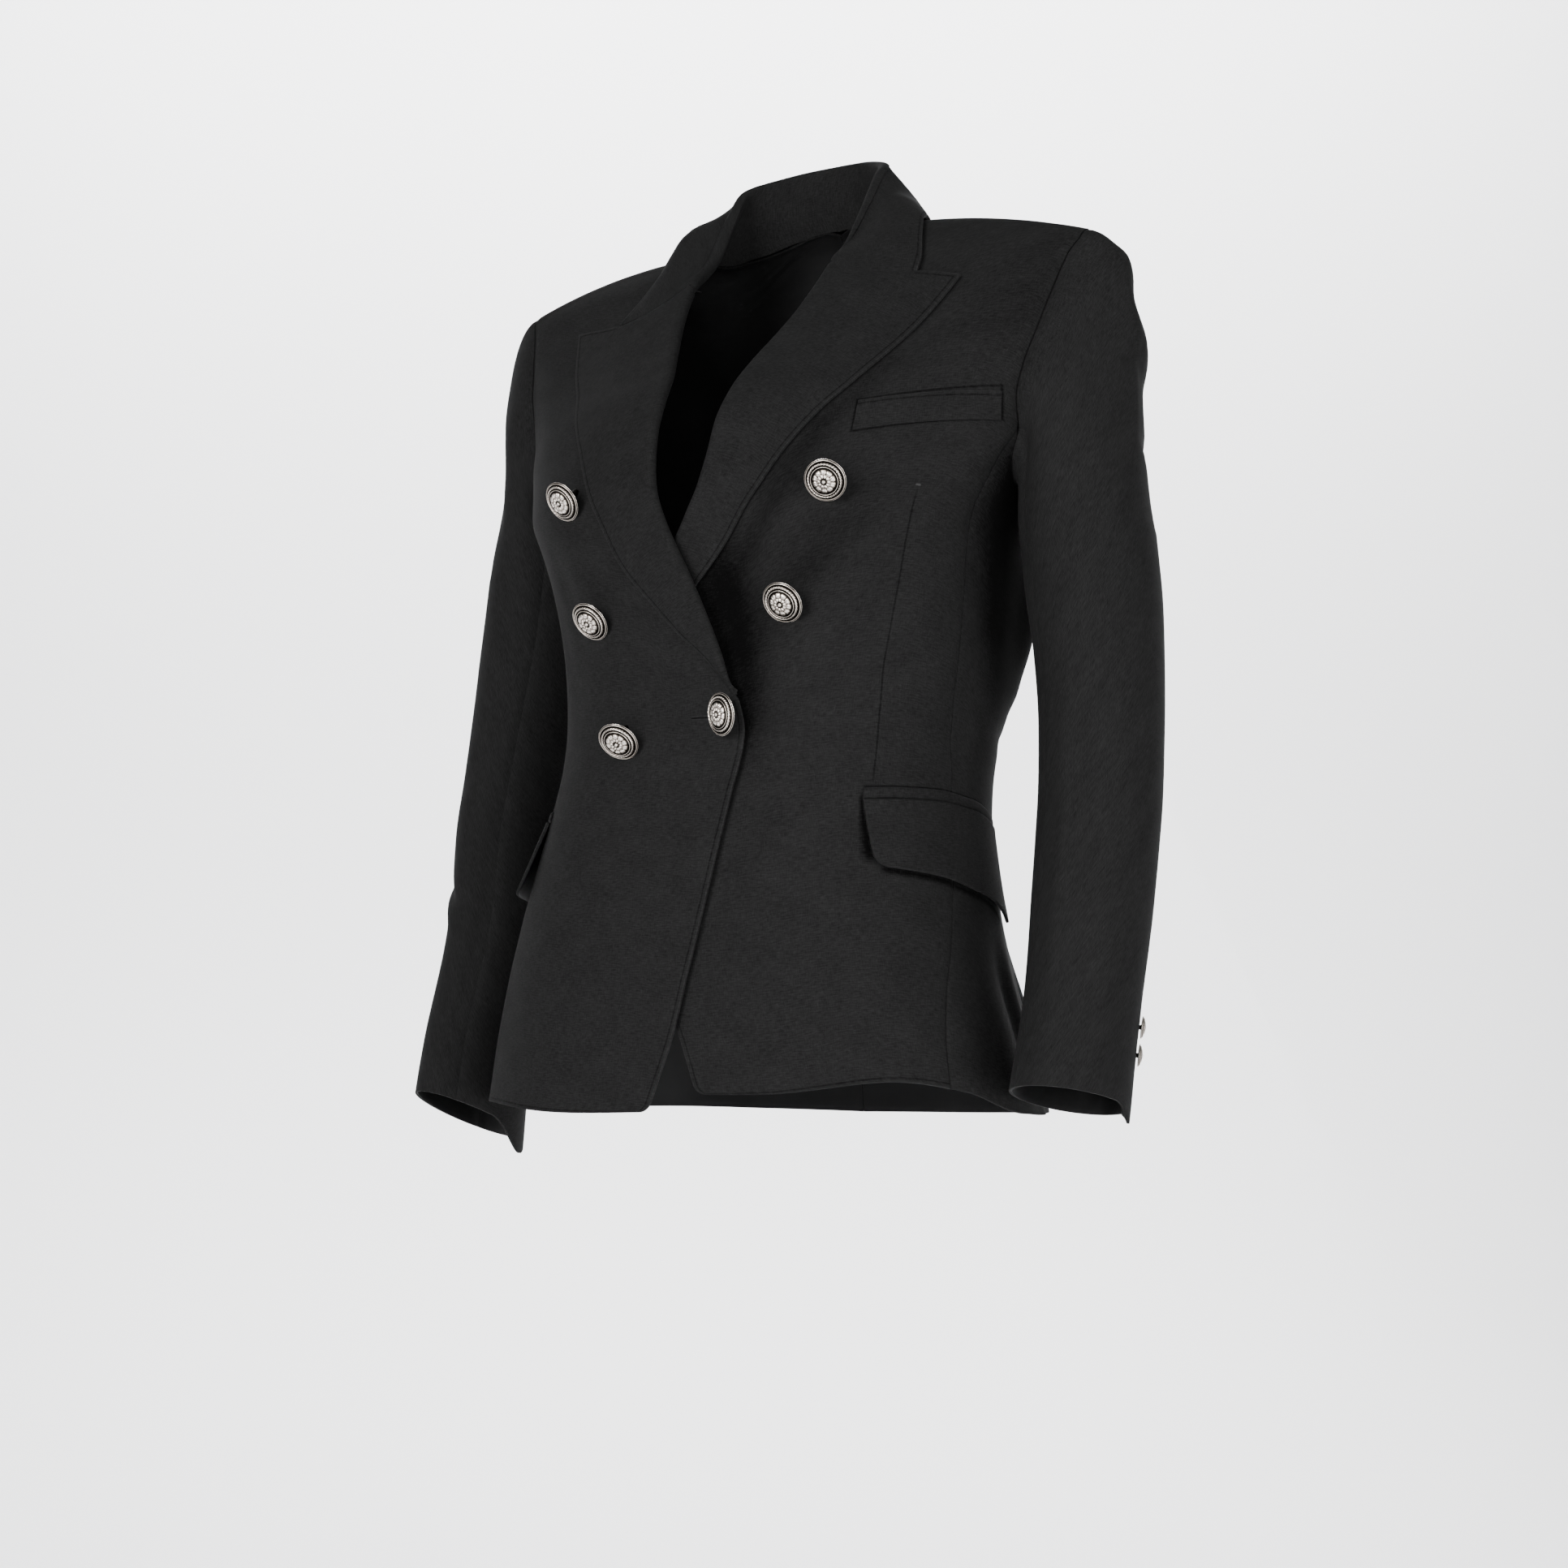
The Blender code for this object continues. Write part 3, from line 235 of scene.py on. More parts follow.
# Painted shade on places that little light reaches, laid out as the creases; depth is how dark, up
# to 1
PAINTED_SHADE_LINES = table(
    "side level angle to_level to_angle half depth",
    (1, -.13, 94, -.345, 109, .034, 2.5), (-1, -.13, 94, -.345, 109, .034, 2.5),
    (1, -.2, -1, -.36, 16, .014, .85), (-1, -.005, 54, -.19, 40, .026, .22),
    (-1, .015, 63.5, -.15, 74, .0042, 1), (1, -.005, 60, -.11, 62, .03, .2),
    (1, -.295, 10, -.19, 46, .015, .28), (1, -.268, 4, -.1, 41, .009, .35),
)
# Their level runs from 0 at the armhole to 1 at the head's foot and 2 at the cuff
SLEEVE_CREASES = table(
    "side level angle to_level to_angle half depth",
    (1, .44, -100, .46, 16, .026, .006), (1, .22, -110, .22, 50, .024, .0042),
    (1, .78, -100, .72, -6, .01, -.0036), (1, .3, -100, .27, -16, .008, -.0018),
    (1, .96, 150, 1.2, 149, .026, .001), (-1, .4, 31, .86, 31, .032, -.004),
    (-1, 1.22, 31, 1.9, 31, .026, -.0026), (1, .58, -8, .42, 22, .008, -.0012),
    (1, 1.35, 78, 1.96, 66, .009, -.0022), (1, 1.3, 96, 1.9, 92, .007, .0012),
    (1, 1.46, 40, 1.56, 92, .0065, .0011), (1, 1.4, 50, 1.48, 100, .006, -.0012),
    (1, 1.02, 150, 1.12, 110, .007, -.0014), (1, 1.42, 230, 1.5, 290, .007, -.0016),
    (1, 1.52, 220, 1.6, 280, .007, .0012), (-1, 1.7, 96, 1.58, 20, .007, .0022),
    (-1, 1.66, 84, 1.54, 14, .006, -.002), (-1, 1.3, 110, 1.42, 60, .008, -.0016),
    (-1, 1.4, 120, 1.95, 112, .009, -.0018), (-1, .4, 40, .8, 60, .008, -.0014),
    (-1, .72, -80, .68, -20, .008, -.003), (-1, .48, -74, .5, -22, .015, .0026),
    (-1, 1.02, 150, 1.1, 112, .007, -.0012), (-1, 1.44, 225, 1.54, 285, .007, -.0016),
)
# Front buttons: their front, the way the face turns to the wearer's left and down, how far its
# middle stands out from the cloth, and where, in the front's own x
BUTTONS = table(
    "name side turn down stand x level",
    ("button_right_top", -1, -13, 31, .0088, .086, -.191),
    ("button_right_middle", -1, -9, 36, .0073, .06, -.2685),
    ("button_right_low", -1, 6, 39, .0088, .033, -.348),
    ("button_left_top", 1, 12, 29, .0088, .101, -.196),
    ("button_left_middle", 1, -1, 31, .0066, .0795, -.2675),
    ("button_edge", -1, -21, 7, .0056, -.041, -.335),
)
# Rings and grooves of a button's face, as shares of its radius: middle, half width and height
RINGS = ((0.67, 0.032, 0.05), (0.8, 0.08, 0.03), (0.958, 0.05, 0.045))
RINGS += ((0.625, 0.026, -0.07), (0.712, 0.022, -0.06), (0.888, 0.026, -0.07))
# The button's edge and back, and how worn bright it is
RIM = table(
    "radius height bright",
    (1.022, .2, 1), (1.02, .165, .9), (.985, .14, .6), (.8, .12, .45), (.24, .1, .35),
    (.2, .04, .3), (.2, 0, .2),
)
CUFF_BUTTON_STATIONS = {"upper": 1.86, "lower": 1.905}
# Lights, before they are turned with the camera
LIGHTS = table(
    "name place target width height power",
    ("key", (-1.6, -2.1, 0.3), (0, 0, -0.3), 1.1, 1.5, 74),
    ("fill", (1.6, -1.9, -0.3), (0, 0, -0.35), 1.2, 2, 44),
    ("front", (0.3, -2.8, -0.9), (0, 0, -0.35), 1.2, 1.2, 22),
    ("rear", (1.2, 2.2, 0.2), (0, 0, -0.35), 1.4, 2, 16),
    ("wall", (-0.2, 1.3, 1.7), (-0.2, 2.6, 0.8), 3.5, 0.8, 230),
    ("wall_low", (-0.4, 1.3, -1.3), (-0.4, 2.6, -0.9), 3.5, 0.5, 80),
)


# Curves and surfaces, worked out on whole arrays


def hermite(start, leave, end, arrive, t):
    """Cubic from start to end that leaves and arrives the given ways."""
    return (
        start * ((1 + 2 * t) * (1 - t) ** 2)
        + leave * (t * (1 - t) ** 2)
        + end * (t * t * (3 - 2 * t))
        + arrive * (t * t * (t - 1))
    )


def smooth(rows, value, at, key="level"):
    """Monotone cubic of a column over the key column, held level past the ends."""
    xs, ys = np.array([(getattr(row, key), getattr(row, value)) for row in rows], float).T
    if xs[0] > xs[-1]:
        xs, ys = xs[::-1], ys[::-1]
    step = np.diff(xs)
    slope = np.diff(ys) / step
    before, after = slope[:-1], slope[1:]
    same = before * after > 0
    wide, narrow = 2 * step[1:] + step[:-1], step[1:] + 2 * step[:-1]
    shares = wide / np.where(same, before, 1) + narrow / np.where(same, after, 1)
    inner = np.where(same, (wide + narrow) / shares, 0)
    tangent = np.concatenate([slope[:1], inner, slope[-1:]])
    at = np.clip(at, xs[0], xs[-1])
    i = np.clip(np.searchsorted(xs, at, side="right") - 1, 0, len(step) - 1)
    t = (at - xs[i]) / step[i]
    return hermite(ys[i], step[i] * tangent[i], ys[i + 1], step[i] * tangent[i + 1], t)


def columns(rows, at, key="level"):
    """Every other column of a table, at places of its key column."""
    return [smooth(rows, name, at, key) for name in rows[0]._fields if name != key]


def lerp(a, b, t):
    return a + (b - a) * t


def ease(value, start, end):
    """0 before start, 1 after end, smooth between."""
    t = np.clip((value - start) / (end - start), 0, 1)
    return t * t * (3 - 2 * t)


def bump(value, centre, half):
    """A soft hill of height 1 over centre, gone half away."""
    return 0.5 + 0.5 * np.cos(np.pi * np.clip(np.abs(value - centre) / half, 0, 1))


def bell(way, half):
    return np.exp(-((way / half) ** 2))


def signed_power(value, power):
    return np.sign(value) * np.abs(value) ** power


def unit(way):
    return way / np.maximum(np.linalg.norm(way, axis=-1, keepdims=True), 1e-12)


def vectors(*parts):
    """Vectors with these parts, numbers or arrays."""
    return np.stack(np.broadcast_arrays(*parts), axis=-1)


def side_name(side):
    return "left" if side > 0 else "right"


def torso(side, level, angle):
    """Points of the torso's surface. side is 1 on the wearer's left, angle runs from the front."""
    level, angle = np.broadcast_arrays(level, angle)
    half_width, front, back, middle, sway, power = columns(TORSO, level)
    turn = np.radians(angle)
    across = signed_power(np.sin(turn), 2 / power)
    along = signed_power(np.cos(turn), 2 / power)
    push = ease(level, FLUTE_TOP, HEM_LEVEL) * (
        FLUTE_DEPTH * bump(np.abs(angle), FLUTE_ANGLE, FLUTE_HALF)
        - TUCK_DEPTH * bump(np.abs(angle), TUCK_ANGLE, TUCK_HALF)
    )
    x = side * (half_width + push) * across
    reach = np.where(along > 0, front + middle, back - middle + push)
    past_neck = np.maximum(0, np.abs(x) - NECK_HALF)
    z = level - SHOULDER_FALL * past_neck**2 * np.maximum(0, 1 - level / FALL_LEVEL)
    nape = NAPE_LIFT * smooth(NAPE, "share", level) * bump(np.abs(x), 0, NAPE_HALF)
    return vectors(x + sway, middle - reach * along, z + np.where(along < 0, nape, 0))


def lapped(side, level, angle):
    """Torso points of a front, the left one drawn in where the right one covers it."""
    points = torso(side, level, angle)
    if side > 0:
        depth = smooth(LAP, "depth", level)
        points[..., 1] += depth * (1 - ease(points[..., 0], LAP_INNER, LAP_OUTER))
    return points


def normal_of(surface, side, level, angle):
    """Outward normals of a surface of level and angle."""
    step, turn = 0.0015, 0.5
    low = np.maximum(level - step, TORSO[0].level)
    high = np.minimum(level + step, TORSO[-1].level)
    up = surface(side, high, angle) - surface(side, low, angle)
    round_ = surface(side, level, angle + turn) - surface(side, level, angle - turn)
    return unit(np.cross(round_, up) * side)


def lifted(surface, side, level, angle, lift):
    lift = np.asarray(lift)[..., None]
    return surface(side, level, angle) + normal_of(surface, side, level, angle) * lift


def angle_of(side, level, x, back=False):
    """Angle round the torso of places given by their own x."""
    half_width, _, _, _, sway, power = columns(TORSO, level)
    share = np.clip((x - sway * side) / half_width, -1, 1)
    angle = np.degrees(np.arcsin(signed_power(share, power / 2)))
    return 180 - angle if back else angle


def bent_level(side, level, angle):
    """Level with the hem's own line worked in near the bottom."""
    hem = smooth(HEM, side_name(side), angle, "angle")
    return level + (hem - HEM_LEVEL) * (1 - ease(level, HEM_LEVEL, HEM_BEND_TOP))


def along_line(u, v, start, end):
    """Share run along a line and way across it, for places u, v, and the line's length."""
    run_u, run_v = np.subtract(end, start)
    length = np.hypot(run_u, run_v)
    past_u, past_v = u - start[0], v - start[1]
    share = (past_u * run_u + past_v * run_v) / length**2
    return share, (past_u * run_v - past_v * run_u) / length, length


def crease_relief(creases, side, level, angle, girth=GIRTH, run=1):
    """Height of a side's creases; girth and run turn angles and levels into metres."""
    height = 0 * (level + angle)
    for c in creases:
        if c.side == side:
            start, end = (c.angle * girth, c.level * run), (c.to_angle * girth, c.to_level * run)
            share, across, length = along_line(angle * girth, level * run, start, end)
            past = (share - np.clip(share, 0, 1)) * length
            taper = ease(share, -0.15, 0.35) * (1 - ease(share, 0.6, 1.15))
            height = height + c.depth * taper * bell(np.hypot(across, past), c.half)
    return height


def creased(surface, side, level, angle):
    return lifted(surface, side, level, angle, crease_relief(BODY_CREASES, side, level, angle))


def body(side, level, angle):
    return creased(lapped, side, level, angle)


# Meshes


def ways(grid, axis):
    """Distance run along an axis of a grid of points, from its first row or column."""
    steps = np.diff(grid, axis=axis, prepend=np.take(grid, [0], axis=axis))
    return np.cumsum(np.linalg.norm(steps, axis=-1), axis=axis)


def ways_in(grid):
    """Ways of a grid's points from each of its four edges, and along that edge."""
    across, down = ways(grid, 1), ways(grid, 0)
    return {
        "start": (across, down),
        "end": (across[:, -1:] - across, down),
        "bottom": (down, across),
        "top": (down[-1:] - down, across),
    }


def grid_normals(grid, outward):
    """Normals of a grid, on the side that outward points to at its middle."""
    normals = unit(np.cross(np.gradient(grid, axis=0), np.gradient(grid, axis=1)))
    middle = normals[grid.shape[0] // 2, grid.shape[1] // 2]
    return normals * (1 if np.dot(middle, outward) > 0 else -1)


def seam_dip(grid, outward, edges, depth=0.0008, half=0.0028):
    """Turns the named edges of a panel inwards, as the pressed seam allowance pulls them."""
    inwards = ways_in(grid)
    dip = depth * np.clip(sum(bell(inwards[edge][0], half) for edge in edges), 0, 1)
    return grid - grid_normals(grid, outward) * dip[..., None]


def edge_ways(grid, edges, seams=()):
    """Ways of points to the nearest free edge, along it, and to the nearest seam."""
    inwards = ways_in(grid)
    away = seam = np.full(grid.shape[:2], FAR)
    along = 0 * away
    for edge in edges:
        nearer, run = inwards[edge]
        along = np.where(nearer < away, run, along)
        away = np.minimum(nearer, away)
    for edge in seams:
        seam = np.minimum(seam, inwards[edge][0])
    return vectors(away, along, seam)


def refine(grid, count):
    """Catmull-Rom spline along the rows of a grid, at count places."""
    first, last = 2 * grid[:, :1] - grid[:, 1:2], 2 * grid[:, -1:] - grid[:, -2:-1]
    padded = np.concatenate([first, grid, last], axis=1)
    at = np.linspace(0, grid.shape[1] - 1, count)
    i = np.minimum(at.astype(int), grid.shape[1] - 2)
    t = (at - i)[:, None]
    a, b, c, d = (padded[:, i + k] for k in range(4))
    return b + 0.5 * t * (c - a + t * (2 * a - 5 * b + 4 * c - d + t * (3 * (b - c) + d - a)))


COLLECTION = bpy.data.collections.new("dressed_jacket")
bpy.context.scene.collection.children.link(COLLECTION)


def put(thing, **values):
    for name, value in values.items():
        setattr(thing, name, value)


def add(name, data, collection=bpy.context.scene.collection):
    obj = bpy.data.objects.new(name, data)
    collection.objects.link(obj)
    return obj


def new_mesh(name, points, faces):
    mesh = bpy.data.meshes.new(name)
    mesh.from_pydata(points, [], faces)
    mesh.shade_smooth()
    return mesh


def cloth(
    name, side, grid, outward, thickness=CLOTH, edge_round=0.0007, inner=True, free=(), seams=(),
    **marks
):
    """One piece of cloth: a thin shell with rounded edges that stands for its CAD node. Its UVs
    run in metres along the grid's rows and columns."""
    name += "_" + side_name(side) if side else ""
    rows, cols = grid.shape[:2]
    low = (np.arange(rows - 1)[:, None] * cols + np.arange(cols - 1)).reshape(-1, 1)
    faces = (low + [0, 1, cols + 1, cols]).tolist()
    mesh = new_mesh("cloth_" + name, grid.reshape(-1, 3).tolist(), faces)
    if mesh.polygons[len(faces) // 2].normal.dot(Vector(outward)) < 0:
        mesh.flip_normals()
    across, down = ways(grid, 1), ways(grid, 0)
    flat = vectors(across - across[:, -1:] / 2, down).reshape(-1, 2)
    corners = np.empty(len(mesh.loops), dtype=int)
    mesh.loops.foreach_get("vertex_index", corners)
    mesh.uv_layers.new(name="cloth").data.foreach_set("uv", flat[corners].reshape(-1))
    mesh.materials.append(WOOL)
    mesh.materials.append(LINING)
    nowhere = np.full(grid.shape, FAR)
    marks = {"edge": edge_ways(grid, free, seams), "dart": nowhere, "hole": nowhere, **marks}
    for label, values in marks.items():
        layer = mesh.attributes.new(label, "FLOAT_VECTOR", "POINT")
        layer.data.foreach_set("vector", values.reshape(-1))
    obj = add("cloth_" + name, mesh, COLLECTION)
    wall = obj.modifiers.new("wall", "SOLIDIFY")
    put(wall, thickness=thickness, offset=0, use_even_offset=True)
    put(wall, material_offset=int(inner), material_offset_rim=0)
    rounded = obj.modifiers.new("rounded", "BEVEL")
    put(rounded, width=edge_round, segments=3, angle_limit=math.radians(50), limit_method="ANGLE")
    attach(obj, "root")
    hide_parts(name)


# Panels

ARMHOLE_FRONT, ARMHOLE_BACK = ARMHOLE[:11], ARMHOLE[10:]  # they meet under the arm
PANEL_LEVELS = [HEM_LEVEL, -0.56, -0.525, -0.49, -0.455, -0.425, -0.4, -0.375, -0.35, BREAK_LEVEL]
PANEL_LEVELS += [-0.3, -0.275, -0.25, -0.225, -0.205, -0.187, -0.168, FRONT_JOINT, -0.13, -0.11]
PANEL_LEVELS += [-0.09, -0.07, -0.052, GORGE_LEVEL, -0.024, -0.013, -0.005, 0]


def side_edge(level, joint, armhole_rows, seam):
    above = smooth(armhole_rows, "angle", level)
    return np.where(level >= joint, above, smooth(SIDE_SEAMS, seam, level))


def panel_levels(count, joint=FRONT_JOINT):
    marks = [joint if level == FRONT_JOINT else level for level in PANEL_LEVELS]
    return np.interp(np.linspace(0, len(marks) - 1, count), range(len(marks)), marks)


def between(side, levels, start, end, count):
    """Bent levels and angles of a panel's points, from its start to its end edge."""
    angle = lerp(start[:, None], end[:, None], np.linspace(0, 1, count)[None])
    return bent_level(side, levels[:, None] + 0 * angle, angle), angle


def tucked(rise):
    """How far the lapel's fold is set back, to run on from the front's cut edge."""
    return (BREAK_FOLD + CLOTH / 2) * (1 - ease(rise, 0, BREAK_FADE))


def front_inner_x(side, level):
    edge = smooth(FRONT_EDGE, side_name(side), level)
    roll = smooth(ROLL_LINE, "x", level)
    roll = roll + tucked((level - BREAK_LEVEL) / (GORGE_LEVEL - BREAK_LEVEL))
    neck = smooth(NECK_FRONT, "x", level) + NECK_CLEAR / 2
    above = np.maximum(0, HEM_CORNER - (level - HEM_LEVEL))
    corner = HEM_CORNER - np.sqrt(np.maximum(0, HEM_CORNER**2 - above**2))
    x = np.where(level <= BREAK_LEVEL, edge + corner, roll)
    return np.where(level > GORGE_LEVEL, neck, x)


def body_marks(side, level, angle):
    """Places past the flap's front edge, above the mouth and the hem, where the shadow round the
    flap is painted, and the painted shade where little light reaches.
    """
    mouth, hem = pocket_levels(side, angle)
    share = np.clip((mouth - level) / (mouth - hem), 0, 1)
    past = (angle - POCKET[0].angle - FLAP_SLANT * share) * GIRTH
    flap = vectors(1 + past / lerp(0.3, 1, share), level - mouth, level - hem)
    # Painted shade, as dark as the lines say
    dark = np.clip(crease_relief(PAINTED_SHADE_LINES, side, level, angle), 0, 1)
    return {"flap": flap, "hollow": vectors(dark, 0, 0)}


def front_panel(side):
    near_hem = HEM_LEVEL + HEM_CORNER * (1 - np.cos(np.linspace(0, np.pi / 2, 8)))[:-1]
    levels = np.unique(np.round(np.concatenate([near_hem, panel_levels(150)[2:]]), 7))
    start = angle_of(side, levels, front_inner_x(side, levels))
    end = side_edge(levels, FRONT_JOINT, ARMHOLE_FRONT, "front")
    bent, angle = between(side, levels, start, end, 84)
    grid = body(side, bent, angle)
    marks = body_marks(side, bent, angle)
    left = torso(1, bent, angle)  # the dart is laid out on the left front's own points
    share, across, _ = along_line(left[..., 0], left[..., 2], DART_TOP, DART_FOOT)
    marks["dart"] = vectors(across, share, 0)
    marks["edge"] = edge_ways(grid, ["start", "bottom"], ["end", "top"])
    marks["edge"][levels > BREAK_LEVEL, :, 0] = FAR
    if side < 0:
        own_x, level = -grid[..., 0], grid[..., 2]
        marks["hole"] = vectors(own_x - BUTTONHOLE[0], level - BUTTONHOLE[1], 0)
    outward = (0, -1, 0)
    grid = seam_dip(grid, outward, ["end", "top"])
    if side > 0:
        slope = (WELT_TOP[1] - WELT_TOP[0]) / (WELT_X[1] - WELT_X[0])
        across = grid[..., 0] - sum(WELT_X) / 2
        top = sum(WELT_TOP) / 2 + slope * across
        marks["welt"] = vectors(across, grid[..., 2] - top + WELT_HEIGHT / 2, 0)
    cloth("front", side, grid, outward, **marks)


def sewn_panel(name, side, bent, angle, outward, seams, **marks):
    """A panel of the back or side, sewn at its named edges."""
    grid = seam_dip(creased(torso, side, bent, angle), outward, seams)
    cloth(name, side, grid, outward, seams=seams, **marks)


def back_panel(side):
    levels = panel_levels(140, BACK_JOINT)
    start = side_edge(levels, BACK_JOINT, ARMHOLE_BACK, "back")
    neck = smooth(NECK_BACK, "x", levels) + NECK_CLEAR / 2
    end = np.where(levels > NECK_BACK[0].level, angle_of(side, levels, neck, back=True), 180)
    bent, angle = between(side, levels, start, end, 64)
    sewn_panel("back", side, bent, angle, (0, 1, 0), ["start", "end", "top"])


def side_panel(side):
    underarm = [row for row in ARMHOLE if row.level <= BACK_JOINT]
    share = np.linspace(0, 1, 28)[None]

    def across(level):
        front, back = columns(SIDE_SEAMS, level)
        return lerp(front, back, share)

    levels = panel_levels(140)
    above = np.full((22, share.size), SIDE_TOP)
    rise = np.linspace(0, 1, 23)[1:, None]
    for _ in range(4):
        above = lerp(SIDE_TOP, smooth(underarm, "level", across(above), "angle"), rise)
    level = np.concatenate([levels[levels <= SIDE_TOP][:, None] + 0 * share, above])
    angle = across(level)
    bent = bent_level(side, level, angle)
    marks = body_marks(side, bent, angle)
    sewn_panel("side_panel", side, bent, angle, (side, 0, 0), ["start", "end"], **marks)


# Lapels and collar


def gorge_place(side, share):
    name = side_name(side)
    return [smooth(GORGE, field, share, "share") for field in (name, name + "_level")]


def roll_profile(radius, turns):
    """Ways inwards and lifts of the cloth turned at the roll line, from the front's layer."""
    turns = np.radians(turns)
    return radius * np.cos(turns) + 0.0001, radius * (1 + np.sin(turns))


def lapel(side):
    rise = np.concatenate([np.linspace(0, 0.08, 24)[:-1], np.linspace(0.08, 1, 110)])[:, None]
    share = np.linspace(0, 1, 46)[None, 1:]
    roll_level = lerp(BREAK_LEVEL, GORGE_LEVEL - GORGE_GAP, rise)
    edge_level = lerp(LAPEL_EDGE[0].level, LAPEL_EDGE[-1].level - GORGE_GAP, rise)
    roll_x = smooth(ROLL_LINE, "x", roll_level)
    edge_x = smooth(LAPEL_EDGE, side_name(side), edge_level)
    radius = lerp(BREAK_RADIUS, ROLL_RADIUS, ease(rise, 0, 0.25))
    radius = lerp(BREAK_FOLD, radius, ease(rise, 0, BREAK_FADE))
    edge_x = lerp(roll_x, edge_x, lerp(0.35, 1, ease(rise, -0.01, 0.05)))
    edge_lift = lerp(BREAK_FOLD, LAPEL_EDGE_LIFT, ease(rise, -0.01, BREAK_FADE))
    roll_x = roll_x + tucked(rise)
    inwards, lift = roll_profile(radius, np.linspace(-90, 90, 11))
    turned_angle = angle_of(side, roll_level, roll_x - inwards)
    turned = lifted(lapped, side, roll_level + 0 * lift, turned_angle, lift)
    gorge_x, gorge_level = gorge_place(side, share)
    first_x, first_level = gorge_place(side, 0)
    last_x, last_level = gorge_place(side, 1)
    bend = ease(rise, 0.80, 1)
    x = lerp(roll_x, edge_x, share) + (gorge_x - lerp(first_x, last_x, share)) * bend
    level = lerp(roll_level, edge_level, share)
    level = level + (gorge_level - lerp(first_level, last_level, share)) * bend
    lift = lerp(2 * radius, edge_lift, share**0.7)
    flat = lifted(lapped, side, level, angle_of(side, level, x), lift)
    grid = np.concatenate([turned, flat], axis=1)
    outward = (0.2 * side, -1, 0.3)
    gorge_share = np.concatenate([np.zeros(turned.shape[1]), share[0]])
    in_gorge = 1 - ease(gorge_share, COLLAR_CORNER, COLLAR_CORNER + 0.02)
    grid = seam_dip(grid, outward, ["top"], SEWN_DIP * in_gorge, SEWN_DIP_HALF)
    edge, top = edge_ways(grid, ["end"]), edge_ways(grid, ["top"])
    nearer = (gorge_share > COLLAR_CORNER) & (top[..., 0] < edge[..., 0])
    edge = np.where(nearer[..., None], top, edge)
    cloth("lapel", side, grid, outward, inner=False, edge_round=0.0008, edge=edge)


def collar_station(side, share):
    """Points across the folded collar at one place round the neck."""
    seam_level, seam_x, edge_level, left, right, *roll = columns(COLLAR, share, "share")
    behind = share > COLLAR_SHOULDER
    seam = torso(side, seam_level, angle_of(side, seam_level, seam_x, behind))
    edge_angle = angle_of(side, edge_level, left if side > 0 else right, behind)
    edge = lifted(torso, side, edge_level, edge_angle, COLLAR_EDGE_LIFT)
    roll = np.array(roll) * (side, 1, 1)
    gorge_normal = normal_of(torso, side, GORGE_LEVEL, angle_of(side, GORGE_LEVEL, GORGE[0].left))
    around = unit(roll - (0, COLLAR_CENTRE_Y, roll[2]))
    out = unit(lerp(gorge_normal, around, ease(share, 0, 0.3)))
    up = roll - (seam + edge) / 2
    up = unit(up - out * np.dot(up, out))
    centre = roll - up * ROLL_RADIUS
    inner, outer = centre - out * ROLL_RADIUS, centre + out * ROLL_RADIUS
    points = [lerp(seam, inner, t) for t in (0, 0.35, 0.7, 1)]
    for a in np.radians([135, 90, 45]):
        points.append(centre + out * (ROLL_RADIUS * np.cos(a)) + up * (ROLL_RADIUS * np.sin(a)))
    fuller = COLLAR_FULLER if side < 0 else 0.25 * COLLAR_FULLER
    belly = COLLAR_BELLY + fuller * bump(share, 0.46, 0.34)
    for t in (0, 0.2, 0.4, 0.6, 0.8, 1):
        points.append(lerp(outer, edge, t) + (out + up) * (belly * math.sin(math.pi * t)))
    return np.array(points)


def gorge_station(side):
    """The collar's end, point for point along the lapel's top row."""
    tuck = np.array([0.0012, 0.0008, 0.0004, 0, 0, 0, 0, 0])  # the stand's rows under the roll
    inwards, lift = roll_profile(ROLL_RADIUS, [-90, -90, -90, -90, -45, 0, 45, 90])
    level = GORGE_LEVEL + GORGE_GAP
    angle = angle_of(side, level, GORGE[0].left - (inwards - tuck))
    turned = lifted(torso, side, level, angle, lift)
    share = np.array([0.2, 0.4, 0.6, 0.8, 1]) * COLLAR_CORNER
    x, level = gorge_place(side, share)
    level = level + GORGE_GAP
    lift = lerp(2 * ROLL_RADIUS, LAPEL_EDGE_LIFT, share**0.7)
    return np.concatenate([turned, lifted(torso, side, level, angle_of(side, level, x), lift)])


def collar_half(side, shares):
    end, first = gorge_station(side), collar_station(side, 0)
    return [collar_station(side, s) + (end - first) * (1 - ease(s, 0, 0.22)) for s in shares]


def collar():
    shares = np.linspace(0, 1, 49)
    grid = refine(np.array(collar_half(1, shares) + collar_half(-1, shares[:-1])[::-1]), 52)
    outward = (0, 1, 0)
    grid = seam_dip(grid, outward, ["bottom", "top"], SEWN_DIP, SEWN_DIP_HALF)
    cloth("collar", 0, grid, outward, inner=False, edge_round=0.0008, free=["end"])


# Sleeves


def arm_points(side, level, angle):
    """Points of the sleeve below its head, by angle from the outer side to the front."""
    x, y, half_x, half_y, pitch = columns(SLEEVE, level)
    turn = np.radians(angle)
    out, ahead = half_x * np.cos(turn), -half_y * np.sin(turn)
    z = level + pitch * ahead
    if side < 0:
        down = ease(level, SLEEVE[1].level, SLEEVE[-1].level)
        out = out * (1 - RIGHT_NARROW * down)
        z = z + down * (RIGHT_TILT * out + RIGHT_PITCH * ahead - RIGHT_DROP)
        x = x + RIGHT_OUT * down
        x = x - ELBOW_IN * bump(level, ELBOW_LEVEL, ELBOW_HALF)
    for tip in CUFF_TIPS:
        if tip.side == side:
            away = (angle - tip.angle + 180) % 360 - 180
            z = z - tip.drop * bump(away, 0, tip.half) * ease(level, CUFF_TIP_TOP, SLEEVE[-1].level)
    return vectors(side * (x + out), y + ahead, z)


